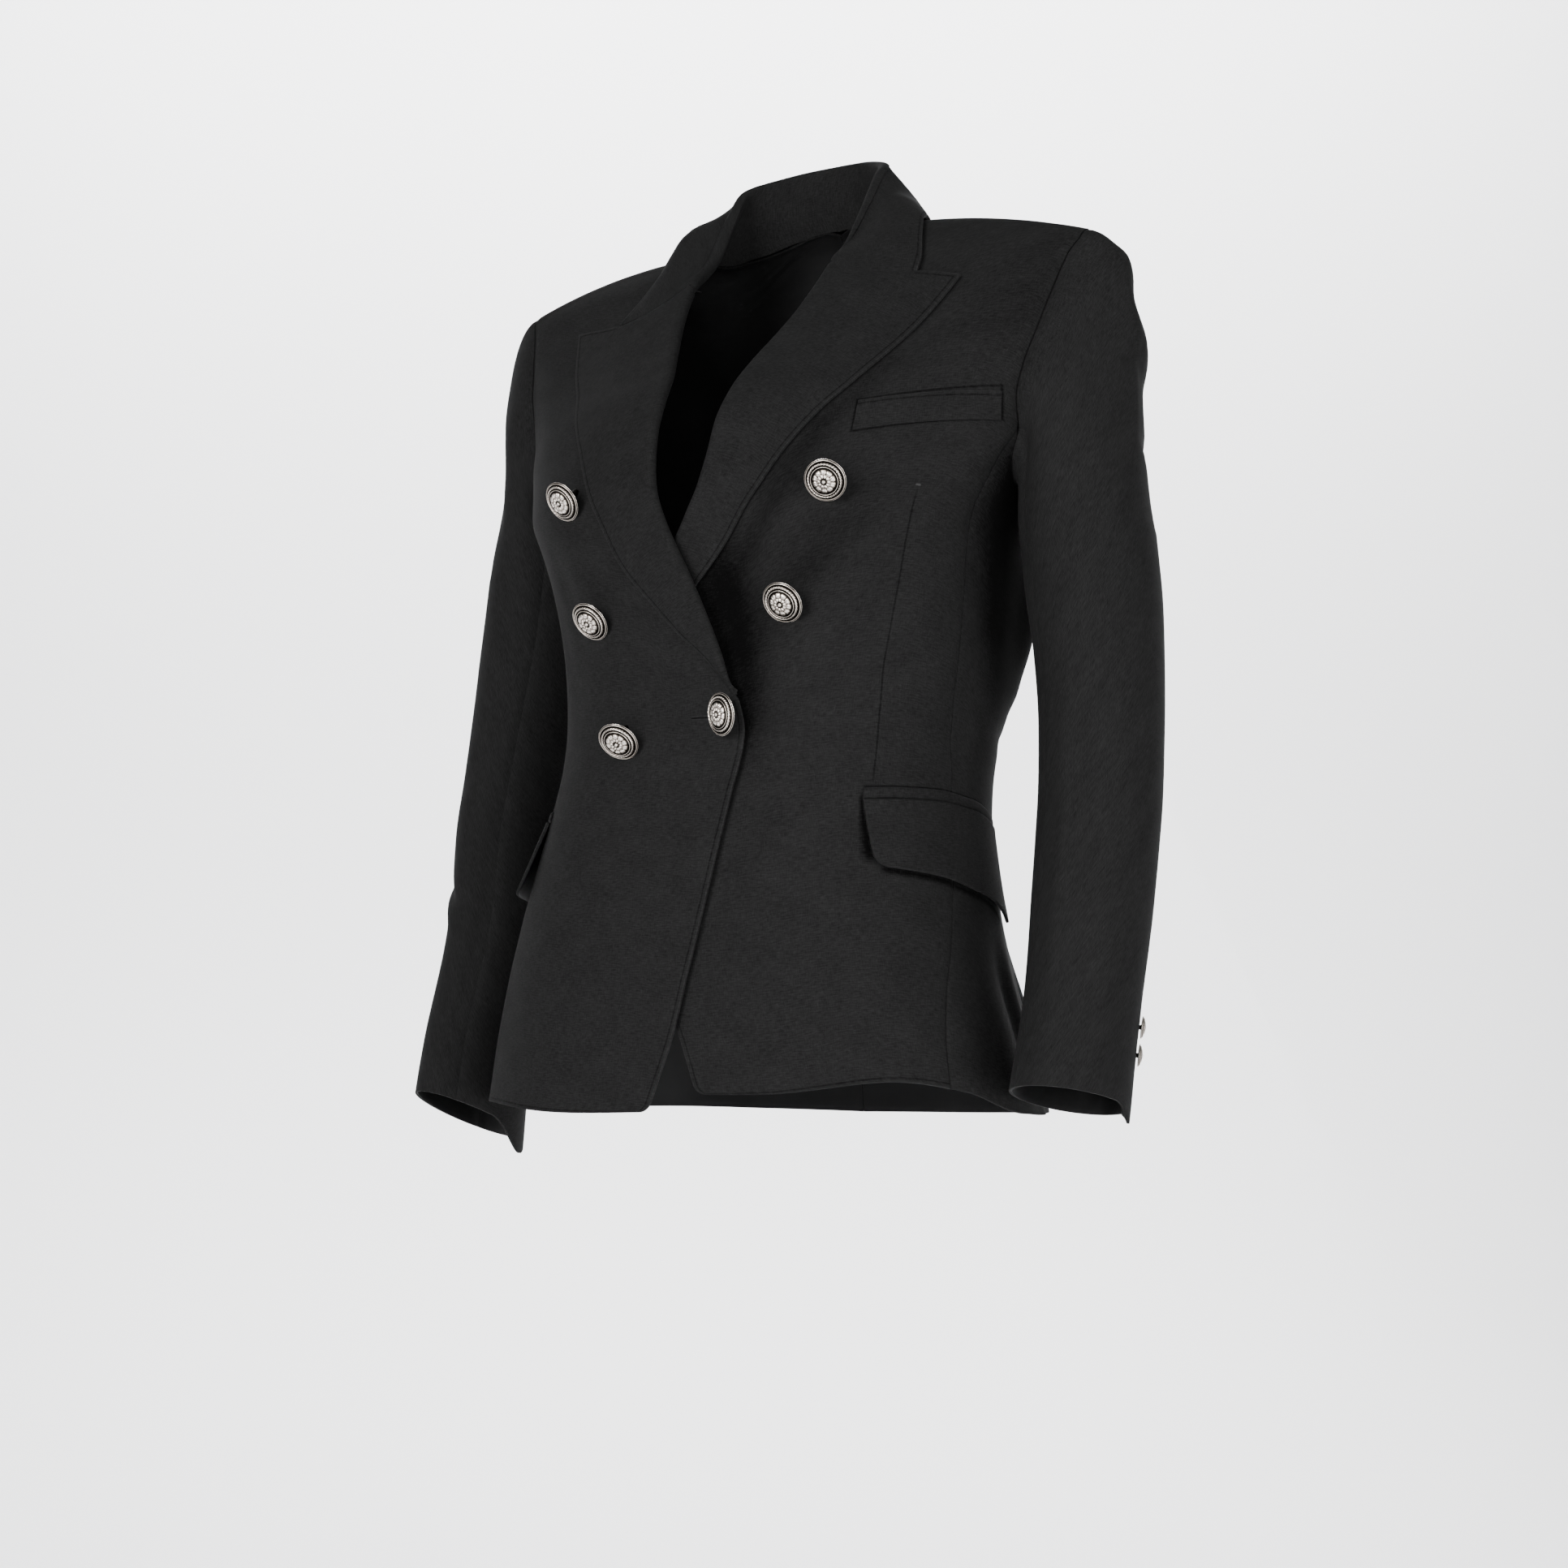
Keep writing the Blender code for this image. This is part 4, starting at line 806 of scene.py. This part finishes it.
def sleeve_points(side, along, angle):
    """Points of the sleeve, along from 0 at the armhole, 1 at its head's foot, to 2 at the cuff."""
    along, angle = np.broadcast_arrays(along, angle)
    level = lerp(SLEEVE[0].level, SLEEVE[-1].level, np.maximum(along - 1, 0))
    turn = np.radians(angle)
    way_out = unit(vectors(side, 0.22 - 0.30 * np.sin(turn), -0.05 - 0.25 * np.cos(turn)))
    levels, angles = np.array(ARMHOLE).T
    run = ways(torso(side, levels, angles)[:, None], 0)[:, 0]
    armhole = table("share level angle", *zip(run / run[-1], levels, angles))
    start = torso(side, *columns(armhole, (angle % 360) / 360, "share")) + way_out * SEWN_CLEAR
    end = arm_points(side, SLEEVE[0].level, angle)
    reach = np.linalg.norm(end - start, axis=-1, keepdims=True)
    leave = way_out * reach * HEAD_FULLNESS
    arrive = np.array([side * HEAD_SLOPE, 0, -1]) * reach
    head = hermite(start, leave, end, arrive, np.clip(along, 0, 1)[..., None])
    return np.where(along[..., None] >= 1, arm_points(side, level, angle), head)


def sleeve(side):
    along = np.concatenate([np.linspace(0, 1, 60) ** 1.2, np.linspace(1, 2, 96)[1:]])[:, None]
    upper = np.linspace(BACK_ARM_SEAM - 360, FRONT_ARM_SEAM, 76)[None]
    under = np.linspace(FRONT_ARM_SEAM, BACK_ARM_SEAM, 72)[None]
    for name, angle, outward, seams in (
        ("upper_sleeve", upper, (side, 0, 0), ["start", "bottom"]),
        ("under_sleeve", under, (-side, 0, 0), ["end", "bottom"]),
    ):
        grid = sleeve_points(side, along, angle)
        relief = sum(
            crease_relief(SLEEVE_CREASES, side, along, angle - turn, SLEEVE_GIRTH, SLEEVE_RUN)
            for turn in (0, 360)
        )
        grid = grid + grid_normals(grid, outward) * relief[..., None]
        grid = seam_dip(grid, outward, ["start", "end"], depth=0.0006)
        grid = seam_dip(grid, outward, ["bottom"], half=0.0035)
        cloth(name, side, grid, outward, seams=seams)


# Pockets


def pocket_levels(side, angle):
    """Levels of the pocket's mouth and of its flap's hem."""
    drops = RIGHT_POCKET_DROPS if side < 0 else (0, 0)
    return [level - drop for level, drop in zip(columns(POCKET, angle, "angle"), drops)]


def pocket_jet(side):
    angle = np.linspace(POCKET[0].angle, POCKET[-1].angle, 60)[None]
    up, lift = columns(JET_SECTION, np.linspace(0, 1, 24)[:, None], "share")
    grid = lifted(body, side, pocket_levels(side, angle)[0] + up, angle, lift)
    cloth("pocket_jet", side, grid, (side, -0.3, 0), TRIM_CLOTH, 0.0004, inner=False)


def pocket_flap(side):
    share = np.linspace(0, 1, 30)[:, None]
    place = np.linspace(0, 1, 60)[None]
    width = (POCKET[-1].angle - POCKET[0].angle) * GIRTH
    low = np.maximum(0, FLAP_CORNER - (1 - share) * FLAP_DEPTH)
    cut = FLAP_CORNER - np.sqrt(np.maximum(0, FLAP_CORNER**2 - low**2))
    near = np.clip(1 - place * width / (4 * FLAP_CORNER), 0, 1)
    far = np.clip(1 - (1 - place) * width / (4 * FLAP_CORNER), 0, 1)
    start = POCKET[0].angle + FLAP_SLANT * share
    angle = lerp(start, POCKET[-1].angle, place) + (cut * near - cut * far) / GIRTH
    mouth, hem = pocket_levels(side, angle)
    level = lerp(mouth - SEAM_GAP, hem, share)
    lift = lerp(FLAP_TOP_LIFT, FLAP_HEM_LIFT[side], share)
    grid = lifted(body, side, level, angle, lift)
    edge = edge_ways(grid, ["top"], ["bottom"])
    # The flap's free edge keeps the painted highlight but has no pressed line or pick stitches
    edge[..., 0] = np.minimum(edge[..., 0], STITCH_IN / 2)
    cloth("pocket_flap", side, grid, (side, -0.3, 0), edge_round=0.0009, edge=edge)


def chest_welt():
    share = np.linspace(0, 1, 20)[:, None]
    place = np.linspace(0, 1, 60)[None]
    x = lerp(*WELT_X, place)
    level = lerp(*WELT_TOP, place) - WELT_HEIGHT * share
    grid = lifted(body, 1, level, angle_of(1, level, x), WELT_LIFT)
    cloth("chest_welt", 0, grid, (0.3, -1, 0), TRIM_CLOTH, 0.0004, inner=False, free=["bottom"])


# Buttons


def button_mesh(name, radius, strands, petals, shank):
    """A domed button with a cord border between plain rings, round a rosette of petals."""
    theta = np.linspace(0, 2 * np.pi, 6 * strands, endpoint=False)[None]
    r = np.linspace(0.012, 1.0, FACE_STEPS)[:, None]
    dome = 0.47 - 0.27 * r**2.2
    cosine, sine = np.abs(np.cos(petals / 2 * theta)), np.abs(np.sin(petals / 2 * theta))
    relief = (
        0.075 * (cosine**0.40 * bump(r, 0.45, 0.19))  # outer petals, their veins, inner petals
        - 0.028 * (bump(sine, 0.0, 0.20) * bump(r, 0.46, 0.15))
        + 0.075 * (sine**0.45 * bump(r, 0.24, 0.14))
        + 0.090 * (1 - ease(r, 0.05, 0.12))  # boss
        - 0.022
    )
    for middle, half, rise in RINGS:
        relief = relief + rise * bump(r, middle, half)
    strand = 0.5 + 0.5 * np.cos(strands * theta + CORD_SLANT * (r - 0.80))
    relief = relief + (0.085 * strand**0.6 - 0.030) * bump(r, 0.800, 0.085)
    face = (r, dome + relief, np.clip(0.25 + relief / 0.045, 0, 1))
    rim = np.array(RIM).T[..., None]
    rim[1, -1] -= shank / radius
    both = (np.concatenate([a + 0 * theta, b + 0 * theta]) for a, b in zip(face, rim))
    ring_r, ring_h, bright = both
    grid = radius * vectors(ring_r * np.cos(theta), ring_r * np.sin(theta), ring_h)
    rows, cols = grid.shape[:2]
    caps = [(0, 0, float(grid[row, :, 2].mean())) for row in (0, -1)]
    pairs = [(1 + c, 1 + (c + 1) % cols) for c in range(cols)]
    last = (rows - 1) * cols
    faces = [(0, a, b) for a, b in pairs]
    for low in range(0, last, cols):
        faces += [(a + low, a + low + cols, b + low + cols, b + low) for a, b in pairs]
    faces += [(1 + last + cols, b + last, a + last) for a, b in pairs]
    mesh = new_mesh(name, caps[:1] + grid.reshape(-1, 3).tolist() + caps[1:], faces)
    layer = mesh.attributes.new("bright", "FLOAT", "POINT")
    layer.data.foreach_set("value", np.concatenate([[1.0], bright.reshape(-1), bright[-1, :1]]))
    mesh.materials.append(SILVER)
    return mesh


def place_button(name, point, normal, mesh, roll):
    obj = add("metal_" + name, mesh, COLLECTION)
    turn = Vector(normal).to_track_quat("Z", "Y").to_matrix().to_4x4()
    obj.matrix_world = Matrix.Translation(Vector(point)) @ turn @ Matrix.Rotation(roll, 4, "Z")
    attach(obj, "root")
    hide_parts(name)


def front_buttons():
    for i, button in enumerate(BUTTONS):
        angle = angle_of(button.side, button.level, button.x)
        out = normal_of(lapped, button.side, button.level, angle)
        point = body(button.side, button.level, angle) + out * button.stand
        a, b = math.radians(button.turn), math.radians(button.down)
        way = np.array([math.sin(a) * math.cos(b), -math.cos(a) * math.cos(b), -math.sin(b)])
        shank = button.stand / float(out @ way)
        mesh = button_mesh(button.name, BUTTON_RADIUS * BUTTON_SHARE, 34, 10, shank)
        place_button(button.name, point, way, mesh, 0.7 * i)


def cuff_buttons():
    mesh = button_mesh("cuff_button", CUFF_BUTTON_RADIUS * BUTTON_SHARE, 26, 8, CUFF_BUTTON_STAND)
    for side in (1, -1):
        for i, (label, along) in enumerate(CUFF_BUTTON_STATIONS.items()):
            point = sleeve_points(side, along, CUFF_BUTTON_ANGLE)
            down = sleeve_points(side, along + 0.02, CUFF_BUTTON_ANGLE) - point
            around = sleeve_points(side, along, CUFF_BUTTON_ANGLE + 4) - point
            normal = unit(np.cross(around, down) * side)
            name = "cuff_button_" + side_name(side) + "_" + label
            place_button(name, point + normal * CUFF_BUTTON_STAND, normal, mesh, 0.9 * i)


# Materials


class Shader:
    """A material that is put together from nodes, whose inputs are outputs or numbers."""

    def __init__(self, name):
        self.material = bpy.data.materials.new(name)
        self.material.use_nodes = True
        self.tree = self.material.node_tree

    def feed(self, node, inputs):
        for name, value in inputs.items():
            if isinstance(value, bpy.types.NodeSocket):
                self.tree.links.new(value, node.inputs[name])
            else:
                node.inputs[name].default_value = value
        return node.outputs

    def node(self, kind, inputs, **settings):
        made = self.tree.nodes.new("ShaderNode" + kind)
        put(made, **settings)
        return self.feed(made, inputs)

    def made(self, inputs):
        self.feed(self.tree.nodes["Principled BSDF"], inputs)
        return self.material

    def math(self, operation, *values):
        return self.node("Math", dict(enumerate(values)), operation=operation)[0]

    times = partialmethod(math, "MULTIPLY")
    less = partialmethod(math, "SUBTRACT")
    size = partialmethod(math, "ABSOLUTE")
    most = partialmethod(math, "MAXIMUM")

    def weighed(self, *parts):
        """Sum of outputs, each times its weight."""
        total, *terms = (self.times(output, weight) for output, weight in parts)
        for term in terms:
            total = self.math("ADD", total, term)
        return total

    def near(self, value, centre, half):
        """1 where a value is at centre, 0 from half away."""
        away = self.math("DIVIDE", self.size(self.less(value, centre)), half)
        return self.most(self.less(1.0, away), 0.0)

    def within(self, value, low, high, soft):
        """1 where a value lies between two, with soft ends."""
        away = self.size(self.less(value, (low + high) / 2))
        made = self.math("DIVIDE", self.less((high - low) / 2, away), soft)
        return self.math("MINIMUM", self.most(made, 0.0), 1.0)

    def parts(self, name):
        """The three parts of a vector that a mesh keeps under a name."""
        vector = self.node("Attribute", {}, attribute_name=name)["Vector"]
        return self.node("SeparateXYZ", {"Vector": vector})

    def noise(self, source, scale, detail, roughness=0.5):
        vector = self.node("Mapping", {"Scale": scale, "Vector": source})["Vector"]
        inputs = {"Vector": vector, "Scale": 1.0, "Detail": detail, "Roughness": roughness}
        return self.node("TexNoise", inputs)["Fac"]

    def ramp(self, factor, *stops):
        node = self.tree.nodes.new("ShaderNodeValToRGB")
        elements = node.color_ramp.elements
        while len(elements) < len(stops):
            elements.new(0.5)
        for element, (place, *colour) in zip(elements, stops):
            element.position = place
            element.color = (*colour, 1)
        return self.feed(node, {"Fac": factor})["Color"]

    def spread(self, value, low, high):
        return self.node("MapRange", {"Value": value, "To Min": low, "To Max": high})["Result"]

    def bumps(self, height, strength, distance):
        inputs = {"Height": height, "Strength": strength, "Distance": distance}
        return self.node("Bump", inputs)["Normal"]


def grey(place, value, blue=1.0):
    return place, value, value, value * blue


def sewn_lines(m):
    """Depths of the pressed line, pick stitches, seams, dart and tack, buttonhole and outline of
    the welt, and painted light: the painted shadow round the pocket flap with the dark seam line
    over its jet, and a painted highlight on a free edge."""
    near, within, times, most = m.near, m.within, m.times, m.most
    away, along, seam_way = m.parts("edge")
    seam = near(seam_way, 0.0, 0.0011)
    line = near(away, STITCH_IN, 0.0009)
    place = m.math("FRACT", m.math("DIVIDE", along, STITCH_PITCH))
    pricks = times(near(away, STITCH_IN, 0.0008), within(place, 0.30, 0.70, 0.12))
    across, share = m.parts("dart")[:2]
    dart = times(near(across, 0.0, 0.0006), within(share, 0.0, 1.0, 0.05))
    tack = times(within(across, -0.0010, 0.0014, 0.0004), near(share, -0.004, 0.006))
    x, z = m.parts("hole")[:2]
    inside = within(x, -0.0125, 0.0125, 0.0006)
    slit = times(near(z, 0.0, 0.0006), inside)
    purl = times(within(z, -0.0016, 0.0016, 0.0005), inside)
    u, v = m.parts("welt")[:2]
    past_end = m.less(m.size(u), (WELT_X[1] - WELT_X[0]) / 2)
    welt = near(most(past_end, m.less(m.size(v), WELT_HEIGHT / 2)), 0.0004, 0.0012)
    past, above, below = m.parts("flap")
    # Painted shadow on the panel beside the flap's front edge
    front = times(near(past, 0.9975, 0.0080), within(below, 0.001, 0.045, 0.005))
    # Dark seam line on the panel over the jet's top
    top = times(near(above, JET_HEIGHT + 0.0009, 0.0013), within(past, 1.0, 1.5, 0.002))
    # Painted shadow on the panel under the flap's hem
    under = times(near(below, -0.0012, 0.0034), within(past, 1.004, 1.5, 0.006))
    flap_shadow_and_jet_seam = most(most(front, top), under)
    # Painted highlight along a free edge
    lit = near(away, 0.0, 0.0011)
    return line, pricks, seam, dart, tack, slit, purl, welt, flap_shadow_and_jet_seam, lit


def cloth_material(name, dark, light, roughness):
    """Fine black worsted: weave, faint slubs across, soft mottling, and its sewn lines, with
    painted shade where little light reaches, painted shadows round the pocket flaps and a painted
    highlight along free edges.
    """
    m = Shader(name)
    uv = m.node("UVMap", {}, uv_map="cloth")["UV"]
    slubs = m.noise(uv, (210, 1200, 1), 2, 0.55)
    warp = m.noise(uv, (1500, 260, 1), 2, 0.6)
    mottle = m.noise(uv, (38, 50, 1), 4, 0.6)
    line, pricks, seam, dart, tack, slit, purl, welt, flap_shadow_and_jet_seam, lit = sewn_lines(m)
    fibre = m.weighed((slubs, 0.45), (warp, 0.35), (mottle, 0.20))
    # The weave's tone with its sewn lines, and painted light worked in: a painted highlight along
    # free edges, painted shadow round the pocket flaps and painted shade where little light reaches
    weave_and_painted_light = m.weighed(
        (fibre, 1.0), (pricks, -0.03), (dart, -0.22), (tack, 0.60), (slit, -0.5), (purl, 0.10),
        (seam, -0.15), (welt, -0.25), (line, -0.18), (lit, 0.13), (flap_shadow_and_jet_seam, -0.34),
        (m.parts("hollow")[0], -0.40),
    )
    # The stop below dark takes the painted shade, the painted shadow and the buttonhole's slit down
    # to near black; the one above light serves the tack's thread and the painted highlight on free
    # edges
    colour = m.ramp(
        weave_and_painted_light, grey(0.18, 0.0015), grey(0.36, dark), grey(0.64, light), grey(1.0, light * 2.4)
    )
    height = m.weighed(
        (slubs, 0.5), (warp, 0.5), (line, -0.7), (pricks, -0.6), (dart, -1.4), (slit, -2.0),
        (purl, 1.2), (seam, -1.4), (welt, -1.6), (tack, 0.6),
    )
    return m.made({
        "Base Color": colour,
        "Roughness": m.spread(fibre, roughness - 0.08, roughness + 0.08),
        "Sheen Weight": 0.012,
        "Sheen Roughness": 0.5,
        "Specular IOR Level": 0.04,
        "Normal": m.bumps(height, 0.35, 0.0005),
    })


def lining_material(name, dark, light, roughness):
    """The plain inside of the jacket, smooth cloth in a close twill."""
    m = Shader(name)
    uv = m.node("UVMap", {}, uv_map="cloth")["UV"]
    twill = m.noise(uv, (900, 900, 1), 2)
    rumple = m.noise(uv, (14, 26, 1), 3)
    mixed = m.weighed((twill, 0.4), (rumple, 0.6))
    return m.made({
        "Base Color": m.ramp(mixed, grey(0.3, dark, 1.05), grey(0.7, light, 1.05)),
        "Roughness": roughness,
        "Specular IOR Level": 0.15,
        "Normal": m.bumps(rumple, 0.5, 0.0025),
    })


def silver_material():
    """Antique silver: bright where it is rubbed, nearly black in its hollows."""
    m = Shader("antique_silver_relief")
    bright = m.node("Attribute", {}, attribute_name="bright")["Fac"]
    place = m.node("TexCoord", {})["Object"]
    grain = m.noise(place, (900, 900, 900), 3)
    stain = m.noise(place, (220, 220, 220), 2)
    level = m.less(m.weighed((bright, 1.0), (grain, 0.22), (stain, 0.25)), 0.235)
    colour = m.ramp(
        level, (0.21, 0.012, 0.010, 0.008), (0.42, 0.17, 0.143, 0.119), (0.64, 0.57, 0.505, 0.445),
        (0.82, 1.0, 0.92, 0.84),
    )
    return m.made({
        "Base Color": colour,
        "Metallic": 1.0,
        "Roughness": m.spread(level, 0.55, 0.24),
        "Normal": m.bumps(grain, 0.2, 0.0002),
    })


# Stage, light and camera


def stage():
    """A pale floor that sweeps up into a wall behind, lit by the world and the lights."""
    a, bend = np.linspace(0, np.pi / 2, 25), 0.7
    ys = [-4, *(BACKDROP_Y - bend + bend * np.sin(a)), BACKDROP_Y]
    zs = [0, *(bend * (1 - np.cos(a))), 4]
    turn = Matrix.Rotation(CAMERA_TURN, 3, "Z")
    points = [turn @ Vector((x, y, z + FLOOR_LEVEL)) for x in (-6, 6) for y, z in zip(ys, zs)]
    n = len(ys)
    mesh = new_mesh("floor", points, [(i, i + 1, n + i + 1, n + i) for i in range(n - 1)])
    pale = {"Base Color": (0.80, 0.80, 0.81, 1), "Roughness": 0.7}
    mesh.materials.append(Shader("pale_floor").made(pale))
    add("floor", mesh)
    made = bpy.data.worlds.new("studio")
    made.use_nodes = True
    background = made.node_tree.nodes["Background"]
    background.inputs["Color"].default_value = (0.95, 0.97, 1.0, 1)
    background.inputs["Strength"].default_value = 0.28
    bpy.context.scene.world = made
    for light in LIGHTS:
        data = bpy.data.lights.new(light.name, "AREA")
        put(data, shape="RECTANGLE", size=light.width, size_y=light.height, energy=light.power)
        place, target = turn @ Vector(light.place), turn @ Vector(light.target)
        aim = (target - place).to_track_quat("-Z", "Y").to_euler()
        put(add(light.name, data), location=place, rotation_euler=aim)


def camera():
    data = bpy.data.cameras.new("camera")
    lens = FOCAL_PIXELS / IMAGE_PIXELS * SENSOR
    shift = (HORIZON_PIXEL - IMAGE_PIXELS / 2) / IMAGE_PIXELS
    put(data, sensor_width=SENSOR, lens=lens, shift_y=shift)
    place = Matrix.Rotation(CAMERA_TURN, 3, "Z") @ Vector(CAMERA_PLACE)
    obj = add("camera", data)
    put(obj, location=place, rotation_euler=(math.pi / 2, 0, CAMERA_TURN))
    bpy.context.scene.camera = obj


WOOL = cloth_material("black_worsted", 0.0076, 0.0180, 0.85)
LINING = lining_material("black_lining", 0.0032, 0.0050, 0.55)
SILVER = silver_material()

for wearer_side in (1, -1):
    for make in (front_panel, back_panel, side_panel, lapel, sleeve, pocket_jet, pocket_flap):
        make(wearer_side)
collar()
chest_welt()
front_buttons()
cuff_buttons()

stage()
camera()
